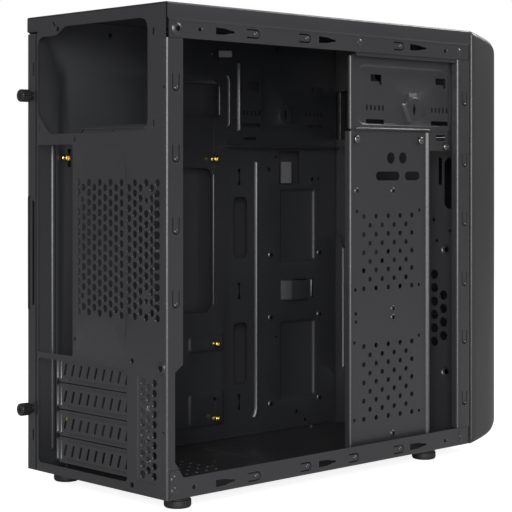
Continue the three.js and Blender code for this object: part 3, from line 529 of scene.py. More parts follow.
# A CAD node that no piece stands for shows as steel.
for node in frame["nodes"].values():
    node.data.materials.clear()
    node.data.materials.append(STEEL)

# ---- rear panel -----------------------------------------------------------------------------
IO = (109.9, 92.4, 154.35, 251.15)
FAN_S, FAN_Z, FAN_PITCH = 59.6, 174.6, 71.5
SEAM = 156.2
REAR_TONGUES = (293.6, 243.4, 192.6, 140.8)
PANEL_EDGE = WIDTH - RAIL - 0.1
PSU_WINDOW = [
    (22, 266.7), (25, 260), (138.5, 259.3), (154.6, 275.6), (154.6, 330), (150, 334), (130.5, 334),
    (119.5, 340.4), (29, 340.4), (24, 338.5), (22, 333.5),
]


def fan_cell(s, z):
    corner = math.hypot(abs(s - FAN_S) - FAN_PITCH / 2, abs(z - FAN_Z) - FAN_PITCH / 2)
    return corner > 5.6


def build_rear_panel():
    path = Path(
        [(RAIL, RAIL_DEEP), (RAIL, 0), (SEAM, 0), (SEAM, 2.0), (PANEL_EDGE, 2.0)], [2.4, 0.7, 0.5], -1,
        "st",
    )
    rear = lambda s: path.u(1, s)
    rail = lambda t: path.u(0, t)
    behind = lambda s: path.u(3, s)
    u0 = path.length[0]
    end = path.length[-1]
    high = RAIL_LOW - 0.3
    top = HEIGHT - SHEET - 0.3
    outline = [
        (u0, 94.6), (rail(7.6), 89.6), (rail(7.6), 26.6), (rail(11.4), 21.2), (rail(2.6), 21.2),
        (rail(2.6), 0.6), (end, 0.6), (end, RAIL_TOP - 1.2), (rear(SEAM - 1.5), RAIL_TOP - 1.2),
        (rear(SEAM - 1.5), top), (rear(RAIL + 1.4), top), (rear(RAIL + 1.4), high), (u0, high),
    ]
    holes = [
        soften(along(rear, PSU_WINDOW), 3.2), along(rear, rounded(*IO, 1.6, 4)),
        along(rear, rounded(45.2, 7.6, 153.6, 88, 3, 4)),
        along(rear, soften([(131.0, 341.2), (132.6, 340.8), (135.6, 344.4), (134.2, 345.2)], 0.3, 1)),
    ]
    holes.append(disc(rear(128.6), 338.9, 2.0, 16))
    holes.append(rounded(behind(158.6), 127, behind(164.6), 209, 2, 4))
    for s, z, r in (
        (107.4, 255, 1.9), (107.2, 105.8, 1.4), (39.5, 95.1, 2.1), (39.5, 6.3, 2.1), (4.4, 290, 1.1),
        (4.9, 47.5, 1.1), (6.6, 92.5, 2.5),
    ):
        holes.append(disc(rear(s), z, r, 16))
    for a, b, c, d in (
        (14.6, 327.2, 16.6, 332.6), (14.6, 262.2, 16.6, 267.6), (151.2, 262, 152.6, 266.6),
    ):
        holes.append(along(rear, rounded(a, b, c, d, 0.7, 3)))
    for i in (-1, 1):
        for j in (-1, 1):
            holes.append(disc(rear(FAN_S + i * FAN_PITCH / 2), FAN_Z + j * FAN_PITCH / 2, 2.1, 16))
    for cell in honeycomb(11.2, 222.8, 15, 14, 7.35, 3.05, fan_cell):
        holes.append(along(rear, cell))
    for cell in honeycomb(15.9, 81.3, 3, 10, 7.33, 3.15, lambda s, z: True):
        holes.append(along(rear, cell))
    for z in REAR_TONGUES:
        slit = turned(tongue(-z - 6.2, -z + 6.2, 0, 3.5, 1.0))
        holes.append([(rail(8.4) + a, b) for a, b in slit])
    relief = [
        between(
            rounded(rear(7.6), 98, rear(104.6), 249, 4), rounded(rear(46), 101, rear(101.6), 246, 3), 1.9,
            1,
        ),
        bead([(rear(12.9), z) for z in (137, 175, 213)], 5.6, 2.2, 3),
        pressed(rear(10.6), 9, rear(34.6), 87, -1.0, 3, 2.2),
    ]
    for z in REAR_TONGUES:
        relief.append(dome(rail(8.4), z - 4.0, 1.9, 1.1))
    relief.append(dome(rear(6.6), 92.5, 4.8, 1.5, 0.58))
    main = path.sheet(outline, holes, relief, HEIGHT)
    corner = sheet_data(
        rect(SEAM - 1.4, RAIL_TOP + 0.3, PANEL_EDGE, HEIGHT - SHEET - 0.3), [], facing_rear(0.0),
        [dome(162.3, 344.4, 2.4, 0.7)],
    )
    add_piece("rear_sheet", merge([main, corner]), STEEL, "chassis", "steel", "rear_panel")


build_rear_panel()


# ---- top cover and bottom pan ---------------------------------------------------------------
HOOKS = ((46.4, 65), (152.8, 171.8), (259.5, 280))


def rivet(u, v):
    return dome(u, v, 2.9, 1.0, 0.3)


def build_top_cover():
    step = 1.3
    path = Path(
        [
            (RAIL, RAIL_LOW), (RAIL, RAIL_TOP - step / 2), (0, RAIL_TOP + step / 2), (0, HEIGHT),
            (WIDTH, HEIGHT), (WIDTH, RAIL_TOP + step / 2), (WIDTH - RAIL, RAIL_TOP - step / 2),
            (WIDTH - RAIL, RAIL_LOW),
        ],
        [0.5, 0.5, 1.6, 1.6, 0.5, 0.5], 1, "sz",
    )
    end = path.length[-1]
    joggle = path.u(2, RAIL_TOP + 1.0)
    outline = [
        (0, 2.2), (path.u(0, RAIL_TOP - 1), 2.2), (joggle, 0), (end - joggle, 0),
        (end - path.u(0, RAIL_TOP - 1), 2.2), (end, 2.2), (end, DEPTH - 1), (end - joggle, DEPTH - 0.3),
        (joggle, DEPTH - 0.3), (0, DEPTH - 1),
    ]
    z = lambda value: path.u(0, value)
    holes = []
    for a, b in HOOKS:
        slot = hook_slot(a, b, 0)
        holes.append([(z(332) + q, p) for p, q in slot])
        holes.append([(end - z(332) - q, p) for p, q in slot])
    for a, b in ((77, 90.2), (131, 144.2), (239.6, 252)):
        holes.append([(z(332) + q, p) for p, q in tongue(a, b, 0)])
    holes += [disc(z(332), 31, 1.5, 14), disc(z(331.4), 304, 1.5, 14), disc(z(331.4), 9.4, 1.9, 14)]
    relief = [
        dome(z(331.4), 9.4, 4.7, 1.5, 0.5), rivet(z(332.4), 199), rivet(z(331.4), 322.3),
        dome(z(332), 33.2, 1.2, 0.5), dome(z(331.4), 306.4, 1.2, 0.5),
    ]
    for t in (88.0, 142.0, 249.6):
        relief.append(dome(z(332), t - 2.2, 1.7, 0.8))
    data = path.sheet(outline, holes, relief, DEPTH)
    add_piece("top_sheet", data, STEEL, "chassis", "steel", "top_cover")


def build_bottom_pan():
    corners = [(RAIL, 20.9), (RAIL, 0), (PANEL_EDGE, 0), (PANEL_EDGE, PAN_RAIL)]
    path = folded(corners, [1.4, 1.4], "sz", -1, 0, 0)
    z = lambda value: path.u(0, value)
    end = path.length[-1]
    outline = soften(
        [
            (z(20.9), 2.0), (end, 2.0), (end, DEPTH - 1.2), (z(PAN_RAIL), DEPTH - 1.2),
            (z(PAN_RAIL), 15.3), (z(20.9), 11.6),
        ],
        1.2, 3,
    )
    holes = []
    for a, b in HOOKS:
        slot = hook_slot(a, b, 0)
        holes.append([(z(6.4) + q, p) for p, q in slot])
        holes.append([(path.u(2, 6.4) + q, p) for p, q in slot])
    for a, b in ((78, 91.2), (133, 144.6), (186.5, 198.1), (239.6, 252)):
        holes.append([(z(6.4) + q, p) for p, q in tongue(a, b, 0)])
    holes += [disc(z(7), 25.3, 1.6, 14), disc(z(6.4), 304, 1.4, 14)]
    floor = lambda s: path.u(1, s)
    for a in range(5):
        for b in range(9):
            holes.append(disc(floor(60 + 10 * b), 60 + 10 * a, 2.2, 12))
    relief = [
        rivet(z(14.6), 6.6), rivet(z(6.4), 6.9), rivet(z(11.4), 323.6), rivet(z(5.2), 323.6),
        dome(z(7), 27.6, 1.2, 0.5), dome(z(6.4), 306.2, 1.2, 0.5),
        pressed(floor(30), 40, floor(138), 118, -1.2, 6, 3),
        pressed(floor(30), 150, floor(138), 190, -1.2, 6, 3),
    ]
    for t in (89.0, 142.4, 195.9, 249.6):
        relief.append(dome(z(6.4), t - 2.2, 1.7, 0.8))
    data = path.sheet(outline, holes, relief, DEPTH)
    add_piece("bottom_sheet", data, STEEL, "chassis", "steel", "bottom_pan")


build_top_cover()
build_bottom_pan()


# ---- right side panel -----------------------------------------------------------------------
PANEL_SCREWS = (289.3, 47.6)
PANEL_SCREW_S = 162.3


def build_side_panel():
    path = folded([(WIDTH, DEPTH - 0.3), (WIDTH, 0), (157.3, 0)], [1.5], "st", 1, 0, 0)
    top = RAIL_TOP - SHEET - 0.3
    flange = lambda s: path.u(1, s)
    skin = lambda t: path.u(0, t)
    holes = [
        [(flange(160.9), 304.6), (flange(159.0), 304.6), (flange(159.0), 314.7), (flange(160.9), 314.7)],
        [(flange(161.1), 23.3), (flange(159.2), 23.3), (flange(159.2), 31.8), (flange(161.1), 31.8)],
        [
            (skin(1.9), 124), (flange(163.6), 124), (flange(158.4), 129), (flange(158.4), 207),
            (flange(163.6), 212), (skin(1.9), 212),
        ],
    ]
    holes = [h[::-1] for h in holes]
    for z in PANEL_SCREWS:
        holes.append(disc(flange(PANEL_SCREW_S), z, 2.1, 16))
    outer = [(skin(16), 119), (skin(1.8), 119), (skin(1.8), 216), (skin(16), 216)]
    inner = [(skin(11.4), 125), (skin(1.85), 125), (skin(1.85), 210.5), (skin(11.4), 210.5)]
    relief = [between(outer, inner, 2.1), pressed(skin(320), 18, skin(24), top - 14, 0.5, 12, 3.0)]
    outline = rect(0, 0.6, path.length[-1], top)
    data = path.sheet(outline, holes, relief, HEIGHT)
    hooks = []
    for _, end in HOOKS:
        for z in (332, 6.4):
            tab = rect(164.6, end - 5, WIDTH - SHEET + 0.1, end - 1.5)
            hooks.append(sheet_data(tab, [], facing_up(z + 1.1), thick=2.2))
    add_piece("side_sheet", merge([data, *hooks]), STEEL, "side_panel", "steel", "right_side_panel")


build_side_panel()


# ---- motherboard tray -----------------------------------------------------------------------
def lance(face, profile, z0, z1):
    """Strip of metal raised from a wall that faces left; profile lists (t, height over the wall)."""
    n = len(profile)
    vertices = [
        world(face - out + back, t, z)
        for back in (0, SHEET) for t, out in profile for z in (z0, z1)
    ]
    faces = [(0, 1, 1 + 2 * n, 2 * n), (2 * n - 2, 4 * n - 2, 4 * n - 1, 2 * n - 1)]
    for a in range(0, 2 * n - 2, 2):
        b = a + 2
        faces.append((a, b, b + 1, a + 1))
        faces.append((a + 2 * n, a + 1 + 2 * n, b + 1 + 2 * n, b + 2 * n))
        faces.append((a, a + 2 * n, b + 2 * n, b))
        faces.append((a + 1, b + 1, b + 1 + 2 * n, a + 1 + 2 * n))
    return np.array(vertices), faces


def drive_grip(spots, hooks, pin, width=11.0):
    holes = []
    for t, z in hooks:
        corners = [
            (t - 5.6, z - 2.4), (t + 4.8, z - 2.4), (t + 4.8, z - 5.0), (t + 7.6, z - 5.0),
            (t + 7.6, z + 3.2), (t - 5.6, z + 3.2),
        ]
        holes.append(soften(corners, 0.6, 2))
    for t in spots:
        holes += [
            rounded(t + d - 1.1, 279.9, t + d + 1.1, 284.2, 0.7, 2)
            for d in (-9.6, -4.8, 0, 4.8, 9.6)
        ]
        holes.append(rounded(t - width, 269.2, t + width, 272.8, 0.9, 3))
    holes.append(soften([(pin - 2.0, 281.6), (pin, 275.8), (pin + 2.0, 281.6), (pin, 287.4)], 0.8, 2))
    return holes


def build_tray():
    foot = 1.2
    outline = rect(2.6, foot, DEPTH - foot, HEIGHT - foot)
    holes = [
        rounded(100, 111, 184.1, 233.8, 9, 6), rounded(128, 277, 189.9, 305.8, 1.8, 4),
        rounded(207.4, 155.6, 224, 208.8, 5, 6), rounded(207.4, 46.5, 224, 99.9, 5, 6),
        rounded(262.6, 219.5, 288.7, 249, 1.2, 3), rounded(282, 116.6, 298, 134.2, 1, 3),
        rounded(304.8, 116.6, 306.4, 134.2, 0.7, 3), rounded(220.4, 258, 234.8, 260.8, 1.0, 3),
        rounded(186, 327.4, 193, 335.4, 0.6, 2),
    ]
    holes += drive_grip([229.5, 308], [(230.6, 305.6), (311, 304.4)], 271.4)
    for t, z, r in (
        (252.8, 157, 1.9), (314.5, 157, 1.9), (252.8, 101.8, 1.9), (314.5, 101, 1.9), (252.8, 25.5, 1.9),
        (314.5, 25.2, 1.9), (285, 15.5, 1.7), (296, 7, 1.7), (259, 84.5, 1.2), (250.2, 232.8, 1.9),
        (305, 223.7, 1.9), (312.8, 223.7, 1.3), (259, 243.7, 1.6), (185.6, 36.8, 1.5), (72.7, 340, 2.0),
        (261.3, 339.4, 2.0),
    ):
        holes.append(disc(t, z, r, 14))
    for t, z in ((214.5, 226), (214.5, 127.2), (214.5, 30.9), (33, 241.5)):
        corners = [
            (t - 2.0, z - 7), (t - 0.2, z), (t - 2.0, z + 7), (t + 1.9, z + 7), (t + 0.8, z),
            (t + 1.9, z - 7),
        ]
        holes.append(corners)
    field = rounded(22.3, 13, 206, 313.4, 9)
    floor = rounded(24.7, 15.4, 186, 311, 7.5)
    relief = [between(field, floor, -1.3, 1)]
    relief.append(pressed(156.4, 76.4, 196.5, 92.8, 1.3, 4, 3.0))
    relief.append(pressed(156.4, 13.3, 196.5, 44.6, 1.3, 5, 3.0))
    relief.append(bead([(214.3, 267), (214.3, 295), (214.3, 324)], 4.6, 2.2))
    relief.append(
        bead([(201.7, 270.5), (202.4, 273), (202.4, 292), (202.4, 309), (200.8, 313)], 2.6, 1.5)
    )
    curve = [
        (234.8, 238.5), (234.8, 180), (234.8, 120), (234.8, 60), (234.8, 24), (234.0, 19.5),
        (232.2, 16.4),
    ]
    relief.append(bead(curve, 4.0, 2.0))
    relief.append(bead([(16.9, 16), (16.9, 130), (16.9, 250)], 3.6, 0.9, 3))
    relief.append(bead([(303.2, 118.4), (303.2, 125), (303.2, 132.6)], 2.2, 1.4, 3))
    relief.append(pressed(240, 265.8, 333, 327.4, -0.8, 4, 6))
    for t, low, high in ((191.4, 279.5, 303.6), (185.6, 117, 228)):
        relief.append(bead([(t, low), (t, (low + high) / 2), (t, high)], 1.9, 1.0, 3))
    relief.append(pressed(264, 149.4, 309, 216, -2.0, 3, 3.2))
    relief.append(pressed(264, 27.2, 309, 98, -2.0, 3, 3.2))
    relief.append(dome(271.4, 280.6, 8.6, 0.7, 0.8, 28))
    relief += [
        dome(t, z, 3.4, 0.9, 0.62, 18)
        for t, z in (
            (252.8, 157), (314.5, 157), (252.8, 101.8), (314.5, 101), (252.8, 25.5), (314.5, 25.2),
        )
    ]
    relief.append(dome(182.9, 331.3, 1.3, 0.9))
    main = sheet_data(outline, holes, facing_left(TRAY), relief)

    parts = [
        main,
        lance(
            TRAY, [(264.6, 0.1), (265.4, 0.4), (271.4, 6.2), (273.4, 6.7), (290, 6.9), (292, 6.6)], 117,
            133.8,
        ),
        lance(TRAY, [(264.6, 0.1), (265.4, 0.4), (271.4, 6.2), (272.2, 6.5)], 220.4, 239.3),
        lance(TRAY, [(190.2, 0.1), (191.0, 0.5), (198.2, 7.6), (198.8, 7.9)], 328.6, 334.2),
        sheet_data(rect(TRAY + 0.1, 2.6, TRAY + 8.6, DEPTH - foot), [], facing_up(foot + SHEET)),
        sheet_data(rect(TRAY + 0.1, 2.6, TRAY + 8.6, DEPTH - foot), [], facing_up(HEIGHT - foot)),
    ]
    add_piece("tray_sheet", merge(parts), SHADED_STEEL, "chassis", "steel", "motherboard_tray")


build_tray()


# ---- front sheet ----------------------------------------------------------------------------
def build_front_sheet():
    front_fan = (79.2, 111.2)
    inner_edge = DEPTH - RAIL_DEEP
    corners = [
        (7.0, inner_edge), (RAIL, inner_edge), (RAIL, DEPTH), (PANEL_EDGE, DEPTH),
        (PANEL_EDGE, inner_edge),
    ]
    path = folded(corners, [2.0, 1.6, 1.6], "st", 1, 2, 1)
    front = lambda s: path.u(2, s)
    rail = lambda t: path.u(1, t)
    low, high = PAN_RAIL + 0.3, RAIL_LOW - 0.3
    outline = [
        (0, low), (front(4), low), (front(4), 1.2), (front(PANEL_EDGE - 3), 1.2),
        (front(PANEL_EDGE - 3), low), (path.length[-1], low), (path.length[-1], high),
        (front(PANEL_EDGE - 3), high), (front(PANEL_EDGE - 3), HEIGHT - 1.2), (front(4), HEIGHT - 1.2),
        (front(4), high), (0, high),
    ]
    holes = [
        along(front, rounded(11, 260, 157, 304.6, 3, 4)), along(front, rounded(60, 312, 108, 330, 5, 5)),
        along(front, rounded(13.5, 199, 28.2, 243, 6, 6)),
        along(front, rounded(30.6, 219, 34.6, 243, 1.8, 4)),
    ]
    for cell in honeycomb(
        front_fan[0] - 50.2, front_fan[1] + 48, 11, 9, 11.6, 4.6, lambda s,
        z: math.hypot(s - front_fan[0], z - front_fan[1]) < 55 and math.hypot(
            abs(s - front_fan[0]) - 52.5, abs(z - front_fan[1]) - 52.5,
        ) > 9,
    ):
        holes.append(along(front, cell))
    relief = []
    for i in (-1, 1):
        for j in (-1, 1):
            centre = (front(front_fan[0] + 52.5 * i), front_fan[1] + 52.5 * j)
            holes.append(disc(*centre, 2.4, 16))
            relief.append(dome(*centre, 4.4, -1.0, 0.62))
    for s, z in ((6.4, 30), (6.4, 178), (6.4, 318), (161.6, 30), (161.6, 178), (161.6, 318)):
        holes.append(along(front, rounded(s - 1.8, z - 5, s + 2.2, z + 5, 1.5, 3)))
    for s, z, r in ((40, 189, 1.6), (36.2, 171, 1.4), (22, 180, 1.4), (50, 30, 2.2), (110, 30, 2.2)):
        holes.append(along(front, disc(s, z, r, 14)))
    for z in (292, 240.5, 190.7, 140.1, 91.2, 39.7):
        slit = turned(tongue(-z - 6.0, -z + 6.0, 0, 3.4, 1.0))
        holes.append([(rail(328.4) + a, b) for a, b in slit])
        relief.append(dome(rail(328.4), z - 3.8, 1.9, 1.1))
    relief.append(pressed(front(142.6), 50, front(149), 163, -1.6, 2.4, 2.0))
    relief.append(pressed(front(46), 176, front(118), 196, -1.2, 4, 2.4))
    data = path.sheet(outline, holes, relief, HEIGHT)
    add_piece("front_sheet_metal", data, STEEL, "chassis", "steel", "front_sheet")


build_front_sheet()


# ---- drive cage -----------------------------------------------------------------------------
def build_cage_wall():
    front = DEPTH - RAIL_DEEP + 9
    path = Path([(11.4, CAGE_REAR), (PLATE, CAGE_REAR), (PLATE, front)], [2.2], 1, "st")
    u = lambda t: path.u(1, t)
    holes = [along(u, hole) for hole in drive_grip([226.2, 306.6], [(226.4, 305.6), (307, 305.6)], 273.8)]
    relief = [
        pressed(u(204), 267.6, u(321), 316.6, -0.8, 8, 2.2), dome(u(275), 281.6, 10.5, 0.5, 0.88, 28),
        bead([(u(261.6), 285.6), (u(264.6), 279.8), (u(267.8), 272.6)], 5.4, 2.8),
    ]
    main = sheet_data(
        rect(0, 264.9, path.length[-1], 322.8), holes, path.place, relief, path.fold_lines(0, HEIGHT),
    )
    rail_corners = [(PLATE + 0.8, 266.0), (PLATE + 0.9, 264.6), (PLATE + 1.1, 248)]
    rail = folded(rail_corners, [1.0], "sz", -1, 1, 0)
    slots = [
        [(rail.u(1, b), a) for a, b in rounded(302.6, 256.6, 314.8, 261.4, 0.6, 3)],
        disc(rail.u(1, 251.6), 314.2, 1.6, 14), disc(rail.u(1, 256.4), 202.7, 1.7, 14),
        disc(rail.u(1, 256.2), 280.6, 1.7, 14),
    ]
    lip = sheet_data(
        rect(0, CAGE_REAR + 1.2, rail.length[-1], front), slots, rail.place, (),
        rail.fold_lines(0, DEPTH),
    )
    ledge = bead([(CAGE_REAR + 8, 0), (250, 0), (292, 0)], 2.4, 1.0)
    edge = sheet_data(
        [(CAGE_REAR + 6, 263.8), (294, 263.8), (294, 266.2), (CAGE_REAR + 6, 266.2)], [],
        facing_left(PLATE - 0.2), [([[(a, b + 265) for a, b in loop] for loop in ledge[0]], ledge[1])],
        thick=0.6,
    )
    roof = sheet_data(rect(1.9, CAGE_REAR, PLATE + 0.6, front), [], facing_up(323.4))
    upright = sheet_data(rect(CAGE_REAR, 322, front, 327), [], facing_left(2.1))
    tick = lance(PLATE, [(266.4, 0), (267.0, 0.4), (271.0, 4.2), (271.6, 4.6)], 291.8, 295.0)
    add_piece(
        "cage_sheet", merge([main, lip, edge, roof, upright, tick]), STEEL, "chassis", "steel",
        "cage_left_wall",
    )


def build_drive_plate():
    t1 = 289.5
    flare = 1.9
    corners = [
        (14.5, CAGE_REAR), (PLATE, CAGE_REAR), (PLATE, t1 - flare), (PLATE - flare, t1),
        (PLATE - flare, t1 + 1.4), (14.5, t1 + 1.4),
    ]
    path = folded(corners, [2.6, 0.6, 0.6, 0.5], "st", -1, 1, 0)
    u = lambda t: path.u(1, t)
    holes = []
    relief = []
    for top, low in ((195, 137.4), (91.4, 33.4)):
        pitch = (top - low) / 4
        for j in range(9):
            for i in range(4 if j % 2 else 5):
                t = 212 + 14.6 * (i + (0.5 if j % 2 else 0))
                holes.append(disc(u(t), top - j * pitch / 2, 2.1, 12))
    holes += [disc(u(244.4), 241.8, 4.7, 24), disc(u(259.2), 241.9, 4.7, 24)]
    for a, b, c, d in ((226.4, 223.6, 255, 230.8), (261.8, 223.6, 280, 230.8)):
        holes.append(rounded(u(a), b, u(c), d, 3.4, 6))
    small = [
        (246.9, 215), (203.8, 215.4), (203.8, 199), (279.9, 199), (202.1, 137), (279.3, 137.5),
        (200.9, 95.1), (279.3, 95.7), (200.9, 33.8), (279.3, 33.5), (246.9, 119.6), (246.9, 112.4),
        (202.7, 118), (202.7, 111.6), (246.9, 18.4), (202.7, 8.4),
    ]
    for t, z in small:
        holes.append(disc(u(t), z, 1.5, 12))
    for t, z in ((246.9, 215), (246.9, 119.6), (246.9, 112.4), (246.9, 18.4), (203.8, 215.4)):
        relief.append(dome(u(t), z, 2.9, 0.8, 0.66, 16))
    main = sheet_data(
        rect(0, 1.2, path.length[-1], 262.8), holes, path.place, relief, path.fold_lines(0, HEIGHT),
    )
    foot = sheet_data(rect(PLATE + 1, CAGE_REAR + 1, PLATE + 16, t1 - 1), [], facing_up(2.0))
    add_piece("drive_sheet", merge([main, foot]), STEEL, "chassis", "steel", "hard_drive_plate")


def build_bay_shelf():
    corners = [(TRAY - 0.4, 258), (TRAY - 0.4, 253.0), (148, 253.0), (148, 251.6)]
    path = folded(corners, [0.8, 0.6], "sz", -1, 2, 0)
    data = sheet_data(
        rect(0, 198.4, path.length[-1], DEPTH - 3), [], path.place, (), path.fold_lines(0, DEPTH),
    )
    add_piece("shelf_sheet", data, SHADED_STEEL, "chassis", "steel", "bay_shelf")


build_cage_wall()
build_drive_plate()
build_bay_shelf()


# ---- shelf and expansion slots ---------------------------------------------------------------
LEDGE = 35.7
COVER = 2.9
SLOT_FIRST, SLOT_PITCH, SLOT_COUNT = 81.2, 20.32, 4


def slot_z(k):
    return SLOT_FIRST - k * SLOT_PITCH


def build_psu_shelf():
    upright = sheet_data(
        soften([(30, 252), (104, 252), (104, 263.6), (26, 263.6), (26, 258)], 5),
        [disc(40, 255.5, 1.8, 14), disc(90, 255.5, 1.8, 14), disc(65, 259.8, 1.2, 12)], facing_rear(2.4),
    )
    top = sheet_data(rounded(26, 1.1, 104, 18, 3, 5), [disc(65, 11, 1.8, 14)], facing_up(263))
    lip = sheet_data(rounded(29, 257, 101, 262.8, 1.5, 4), [], facing_front(18))
    add_piece("shelf_lip", merge([upright, top, lip]), STEEL, "chassis", "steel", "psu_shelf")
    # Black strip along the top of the shelf upright: painted shadow for the dark line of shade under the
    # shelf's edge.
    arc = [math.radians(a) for a in range(0, 91, 15)]
    outer = [(97 + 7 * math.cos(a), 257.8 + 7 * math.sin(a)) for a in arc]
    inner = [(97 + 4.8 * math.cos(a), 257.8 + 4.8 * math.sin(a)) for a in reversed(arc)]
    shadow_line = sheet_data(outer + [(26, 264.8), (26, 262.6)] + inner, [], facing_rear(1.5), thick=0.6)
    add_piece("shelf_painted_shadow_line", shadow_line, BLACK, "chassis", "black")


def build_slot_ledge():
    low, high = slot_z(SLOT_COUNT - 1) - 12, slot_z(0) + 12.6
    path = folded([(LEDGE, 4.0), (LEDGE, 17.0), (LEDGE + 9, 17.0)], [1.2], "st", -1, 0, 0)
    holes = [disc(path.u(0, 11), slot_z(k), 1.9, 14) for k in range(SLOT_COUNT)]
    relief = [dome(path.u(0, 11), slot_z(k), 4.2, -0.4, 0.7, 18) for k in range(SLOT_COUNT)]
    main = sheet_data(
        rect(0, low, path.length[-1], high), holes, path.place, relief, path.fold_lines(0, HEIGHT),
    )
    ends = [
        sheet_data(rect(LEDGE + 0.4, 2.6, LEDGE + 9, 16.4), [], facing_up(z))
        for z in (low + 1.1, high)
    ]
    add_piece("ledge_sheet", merge([main, *ends]), STEEL, "chassis", "steel", "slot_ledge")


def build_slot_cover(k):
    z = slot_z(k)
    tab = LEDGE - 1.1
    corners = [(tab, 15.4), (tab, COVER), (133.4, COVER), (133.4, COVER + 5)]
    path = folded(corners, [1.3, 0.9], "st", -1, 1, 1)
    u = lambda s: path.u(1, s)
    fold, tail = u(tab + 2), u(128.6)
    outline = [
        (0, z - 7), (1.4, z - 8.4), (fold, z - 8.4), (fold + 1, z - 9.7), (tail, z - 9.7),
        (tail + 0.6, z - 8.2), (path.length[-1], z - 8.2), (path.length[-1], z + 8.2),
        (tail + 0.6, z + 8.2), (tail, z + 9.7), (fold + 1, z + 9.7), (fold, z + 8.4), (1.4, z + 8.4),
        (0, z + 7),
    ]
    holes = [disc(path.u(0, 11), z, 1.9, 14)]
    for i in range(9):
        s = u(46.6 + 9.25 * i)
        corners = [(s + 1.3, z - 4.6), (s + 4.0, z - 4.6), (s + 1.0, z + 4.6), (s - 1.7, z + 4.6)]
        holes.append(soften(corners, 1.1, 3))
    relief = [bead([(u(a), z + side * 7.4) for a in (40.5, 80, 119)], 1.6, 0.5, 3) for side in (-1, 1)]
    relief += [bead([(u(a), z + b) for b in (-6.6, 0, 6.6)], 2.0, 0.9, 3) for a in (126.2, 130.6)]
    data = path.sheet(outline, holes, relief, HEIGHT)
    add_piece(f"slot_blank_{k + 1}", data, STEEL, f"slot_cover_{k + 1}", "steel", f"slot_cover_{k + 1}")


build_psu_shelf()
build_slot_ledge()
for slot in range(SLOT_COUNT):
    build_slot_cover(slot)


# ---- screws, standoffs and feet --------------------------------------------------------------
def cross(a, b, arm, half):
    return [
        (a - half, b - arm), (a + half, b - arm), (a + half, b - half), (a + arm, b - half),
        (a + arm, b + half), (a + half, b + half), (a + half, b + arm), (a - half, b + arm),
        (a - half, b + half), (a - arm, b + half), (a - arm, b - half), (a - half, b - half),
    ]


def leftward(s, t, z):
    """Spins a piece about an axis that points out of the open side."""
    return lambda across, upright, along: world(s - along, t + across, z + upright)


def forward(s, z, t=0.0):
    return lambda across, upright, along: world(s + across, t + along, z + upright)


def pan_screw(name, place, head, shank, length, body, node):
    flat = head * 0.66
    profile = [(shank * 0.6, -length), (shank, -length + 0.5)]
    turns = 7
    for i in range(turns):
        h = -length + 0.8 + (length - 0.9) * i / turns
        profile += [(shank, h), (shank * 0.84, h + 0.28)]
    profile += [(shank, 0), (head * 0.96, 0), (head, 0.25), (head, 0.95)]
    for i in range(1, 6):
        angle = math.radians(15 * i)
        profile.append((flat + (head - flat) * math.cos(angle), 0.95 + 1.13 * math.sin(angle)))
    profile += [(flat, 2.1), (flat - 0.05, 0.9)]
    shell = lathe_data(profile, place, 28)
    cap = sheet_data(
        disc(0, 0, flat, 28), [cross(0, 0, head * 0.52, head * 0.13)], lambda u, v,
        h: place(u, v, 2.1 + h), thick=1.2,
    )
    add_piece(name, merge([shell, cap]), ZINC, body, "zinc", node)


for slot in range(SLOT_COUNT):
    pan_screw(
        f"cover_screw_{slot + 1}", leftward(LEDGE - SHEET - 0.6, 11, slot_z(slot)), 3.2, 1.5, 4.4,
        f"slot_cover_{slot + 1}", f"slot_screw_{slot + 1}",
    )
pan_screw(
    "rear_plate_screw", leftward(PLATE - 0.3, 202.7, 256.4), 3.1, 1.3, 4, "chassis", "plate_screw_rear",
)
pan_screw(
    "front_plate_screw", leftward(PLATE - 0.3, 280.6, 256.2), 3.1, 1.3, 4, "chassis", "plate_screw_front",
)
pan_screw("bay_cage_screw", leftward(PLATE + SHEET, 314.2, 251.6), 3.1, 1.3, 4, "chassis", "cage_screw")


def build_standoff(number):
    low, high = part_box(f"standoff_{number}")
    tip, root = low.x * 1000 - S0, high.x * 1000 - S0
    t = T0 - (low.y + high.y) * 500
    z = (low.z + high.z) * 500 - Z0
    place = leftward(root, t, z)
    reach = root - tip
    collar = lathe_data(
        [
            (2.1, reach * 0.46), (2.9, reach * 0.52), (2.9, reach - 1.5), (2.6, reach - 0.7),
            (2.1, reach - 0.2), (1.4, reach), (1.2, reach - 2),
        ],
        place, 24,
    )
    profile = [(1.2, 0)]
    for i in range(5):
        h = reach * (0.06 + 0.08 * i)
        profile += [(1.9, h), (1.6, h + 0.2)]
    profile += [(1.9, reach * 0.46), (1.9, reach * 0.52)]
    add_piece(
        f"brass_post_{number}", merge([collar, lathe_data(profile, place, 24)]), BRASS, "chassis",
        "brass", f"standoff_{number}",
    )


for post in range(1, 8):
    build_standoff(post)


def build_foot(number):
    low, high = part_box(f"foot_{number}")
    s = (low.x + high.x) * 500 - S0
    t = T0 - (low.y + high.y) * 500
    depth = Z0 - low.z * 1000
    radius = (high.x - low.x) * 500
    profile = [
        (1.2, -3), (1.9, -2.2), (1.9, 0.3), (radius - 0.6, 0.3), (radius - 0.2, 0.8),
        (radius - 0.25, 2.2), (radius - 0.7, 2.8), (radius - 0.7, 3.4), (radius - 0.1, 4.0),
        (radius, depth - 2.4), (radius - 0.3, depth - 1.1), (radius - 1.1, depth - 0.3),
        (radius - 2.2, depth), (radius - 3.4, depth - 0.1), (radius - 4.2, depth - 0.9),
        (2.6, depth - 1.1), (2.4, depth - 2.6),
    ]
    place = lambda across, upright, along: world(s + across, t + upright, -along)
    add_piece(
        f"rubber_foot_{number}", lathe_data(profile, place, 40), RUBBER, "chassis", "black",
        f"foot_{number}",
    )


for pad in range(1, 5):
    build_foot(pad)


